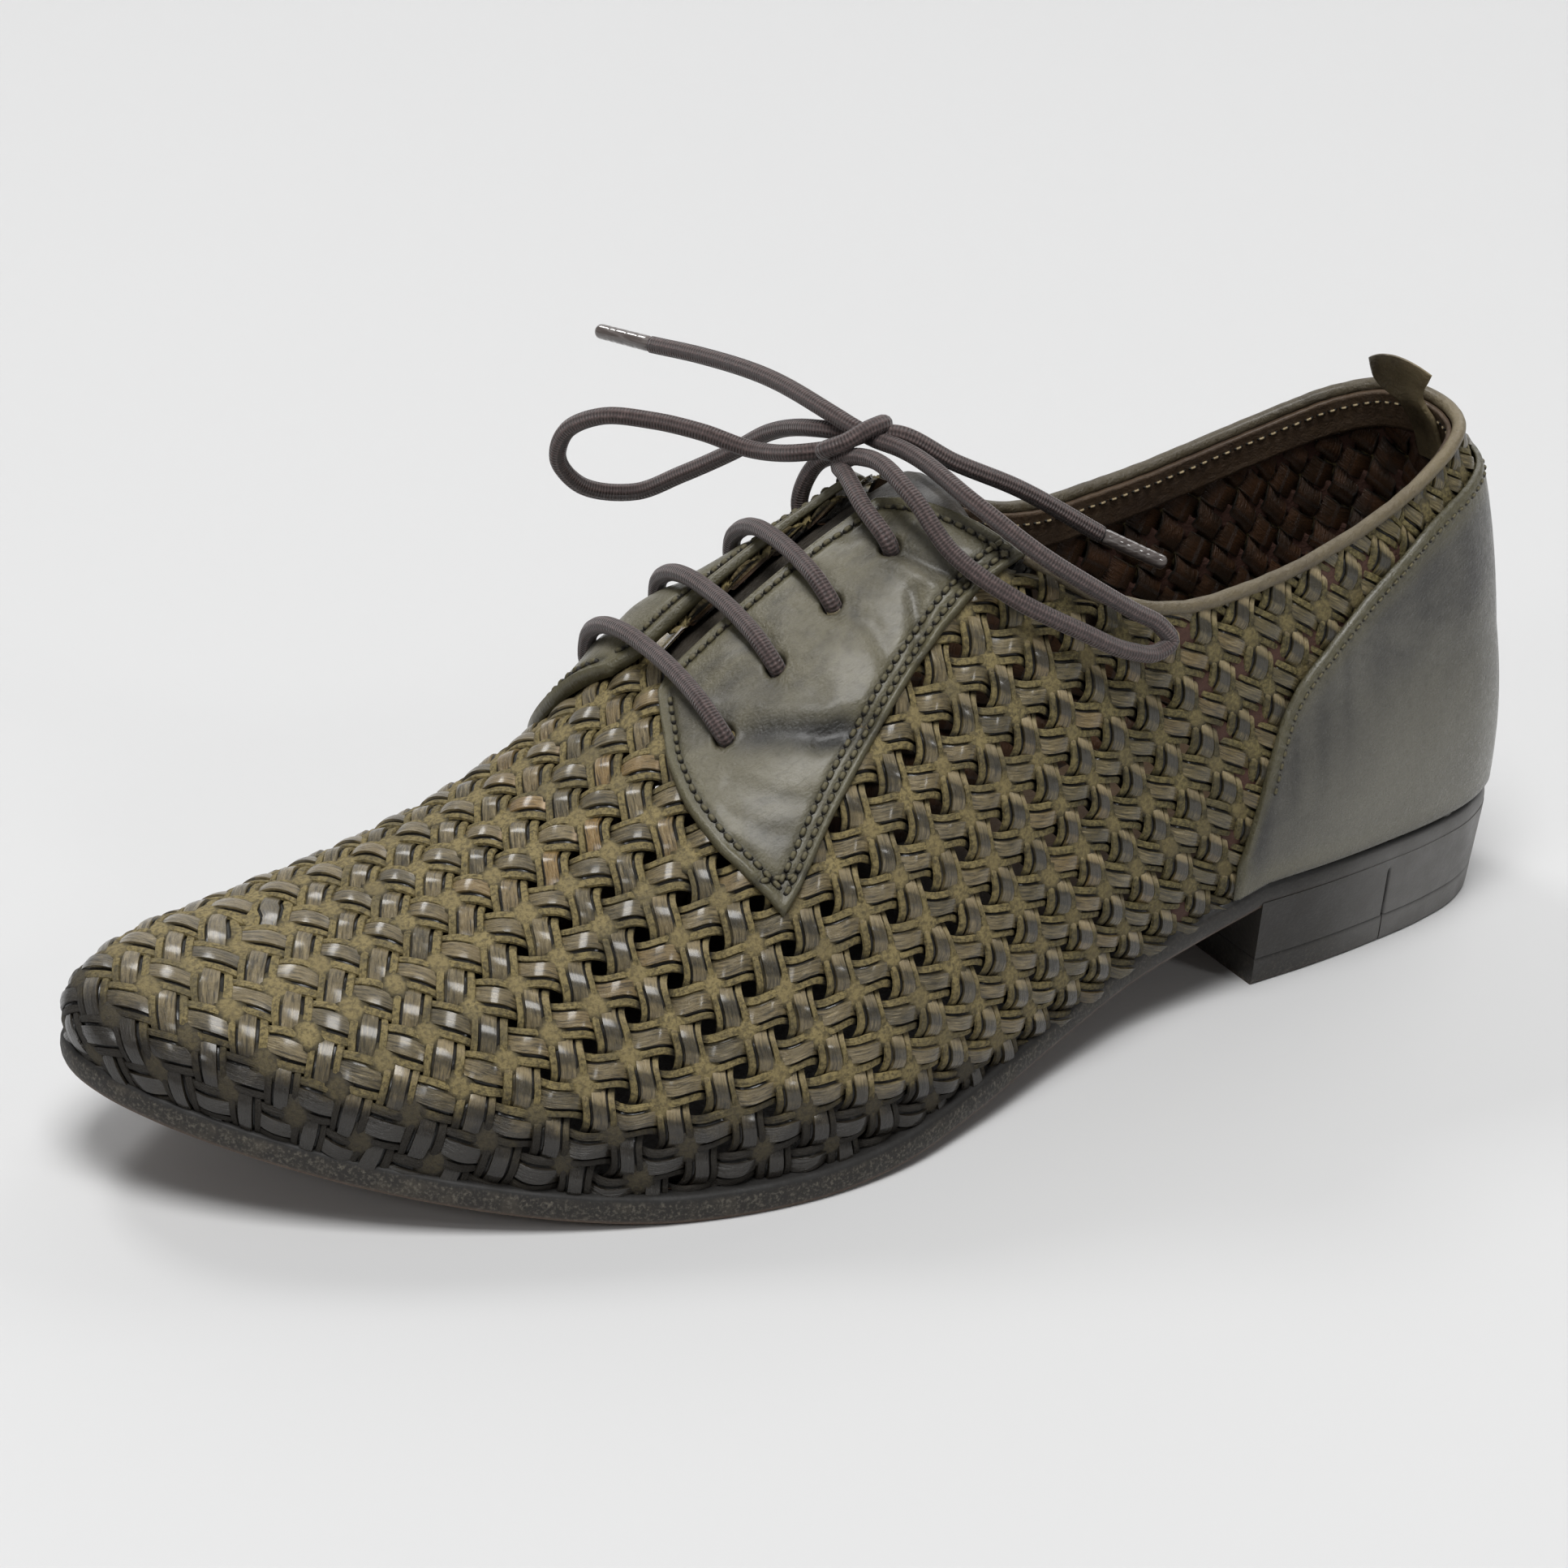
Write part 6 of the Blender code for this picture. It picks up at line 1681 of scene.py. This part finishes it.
def add_floor(scene):
    """Floor that sweeps up into a backdrop behind the shoe."""
    profile = [(FLOOR_NEAR, 0.0), (SWEEP_START, 0.0)]
    for t in np.linspace(0.1, math.pi / 2, SWEEP_STEPS):
        profile.append((SWEEP_START + SWEEP_RADIUS * math.sin(t), SWEEP_RADIUS - SWEEP_RADIUS * math.cos(t)))
    profile.append((SWEEP_START + SWEEP_RADIUS, SWEEP_TOP))
    azimuth = math.radians(VIEW_AZIMUTH)
    back = Vector((-math.sin(azimuth), math.cos(azimuth), 0.0))
    side = Vector((back.y, -back.x, 0.0))
    points = []
    for reach, height in profile:
        for across in (-FLOOR_HALF_WIDTH, FLOOR_HALF_WIDTH):
            points.append(tuple(back * reach + side * across + Vector((0, 0, height))))
    mesh = bpy.data.meshes.new("floor")
    mesh.from_pydata(points, [], grid_faces(len(profile), 2))
    mesh.materials.append(floor_finish())
    mesh.shade_smooth()
    floor = bpy.data.objects.new("floor", mesh)
    scene.collection.objects.link(floor)


def add_camera(scene):
    """Camera at the photograph's place, turned to the one shoe."""
    azimuth, tilt = math.radians(VIEW_AZIMUTH), math.radians(VIEW_ELEVATION)
    eye = Vector(to_frame(VIEW_EYE))
    toward = Vector((math.sin(azimuth) * math.cos(tilt), -math.cos(azimuth) * math.cos(tilt),
                     math.sin(tilt)))
    right = Vector((math.cos(azimuth), math.sin(azimuth), 0.0))
    up = toward.cross(right)
    offset = [(px - PHOTO_PX / 2) / VIEW_FOCAL_PX for px in VIEW_AIM_PX]
    aim = (-toward + right * offset[0] - up * offset[1]).normalized()
    camera = bpy.data.cameras.new("camera")
    camera.sensor_width = SENSOR_WIDTH
    camera.lens = VIEW_FOCAL_PX / PHOTO_PX * SENSOR_WIDTH * VIEW_ZOOM
    camera.clip_start, camera.clip_end = 0.05, 50.0
    seat = bpy.data.objects.new("camera", camera)
    turn_right = aim.cross(up).normalized()
    turn_up = turn_right.cross(aim)
    turned = Matrix((turn_right, turn_up, -aim)).transposed().to_4x4()
    seat.matrix_world = Matrix.Translation(eye) @ turned
    scene.collection.objects.link(seat)
    scene.camera = seat


def add_lights(scene):
    """Soft studio lights aimed at the shoe, and a little light all round."""
    for name, place, breadth, power in STUDIO_LIGHTS:
        lamp = bpy.data.lights.new(name, "AREA")
        lamp.size, lamp.energy = breadth, power
        holder = bpy.data.objects.new(name, lamp)
        holder.location = place
        holder.rotation_euler = (-Vector(place)).to_track_quat("-Z", "Y").to_euler()
        scene.collection.objects.link(holder)
    world = bpy.data.worlds.new("studio")
    world.use_nodes = True
    air = world.node_tree.nodes["Background"].inputs
    air["Color"].default_value = STUDIO_AIR
    air["Strength"].default_value = STUDIO_AIR_STRENGTH
    scene.world = world


class SHOE_OT_stage(bpy.types.Operator):
    """Pale floor, soft studio lights and the camera at the photograph's angle"""
    bl_idname = "shoe.stage"
    bl_label = "Stage"

    def execute(self, context):
        add_floor(context.scene)
        add_camera(context.scene)
        add_lights(context.scene)
        context.scene.view_settings.view_transform = "Standard"
        return {"FINISHED"}


class SHOE_PT_panel(bpy.types.Panel):
    """Lists the steps that dress the shoe, and the sizes and colours that they use"""
    bl_label = "Braided leather shoe"
    bl_idname = "SHOE_PT_panel"
    bl_space_type = "VIEW_3D"
    bl_region_type = "UI"
    bl_category = "Shoe"

    def draw(self, context):
        for operator in OPERATORS:
            self.layout.operator(operator.bl_idname)
        for values in (context.scene.shoe_sizes, context.scene.shoe_colours):
            for key in type(values).__annotations__:
                self.layout.prop(values, key)


OPERATORS = (SHOE_OT_stage, SHOE_OT_laces, SHOE_OT_sole, SHOE_OT_weave, SHOE_OT_counter, SHOE_OT_facings,
             SHOE_OT_collar, SHOE_OT_inside, SHOE_OT_tab)
CLASSES = (ShoeSizes, ShoeColours, *OPERATORS, SHOE_PT_panel)


def register():
    """Registers the classes, and hangs the sizes and colours on the scene."""
    for item in CLASSES:
        bpy.utils.register_class(item)
    bpy.types.Scene.shoe_sizes = bpy.props.PointerProperty(type=ShoeSizes)
    bpy.types.Scene.shoe_colours = bpy.props.PointerProperty(type=ShoeColours)


def unregister():
    """Takes both away again."""
    del bpy.types.Scene.shoe_sizes
    del bpy.types.Scene.shoe_colours
    for item in reversed(CLASSES):
        bpy.utils.unregister_class(item)


def main():
    """Dresses the shoe."""
    register()
    bpy.ops.shoe.stage()
    bpy.ops.shoe.laces()
    bpy.ops.shoe.sole()
    bpy.ops.shoe.weave()
    bpy.ops.shoe.counter()
    bpy.ops.shoe.facings()
    bpy.ops.shoe.collar()
    bpy.ops.shoe.inside()
    bpy.ops.shoe.tab()


if __name__ == "__main__":
    main()
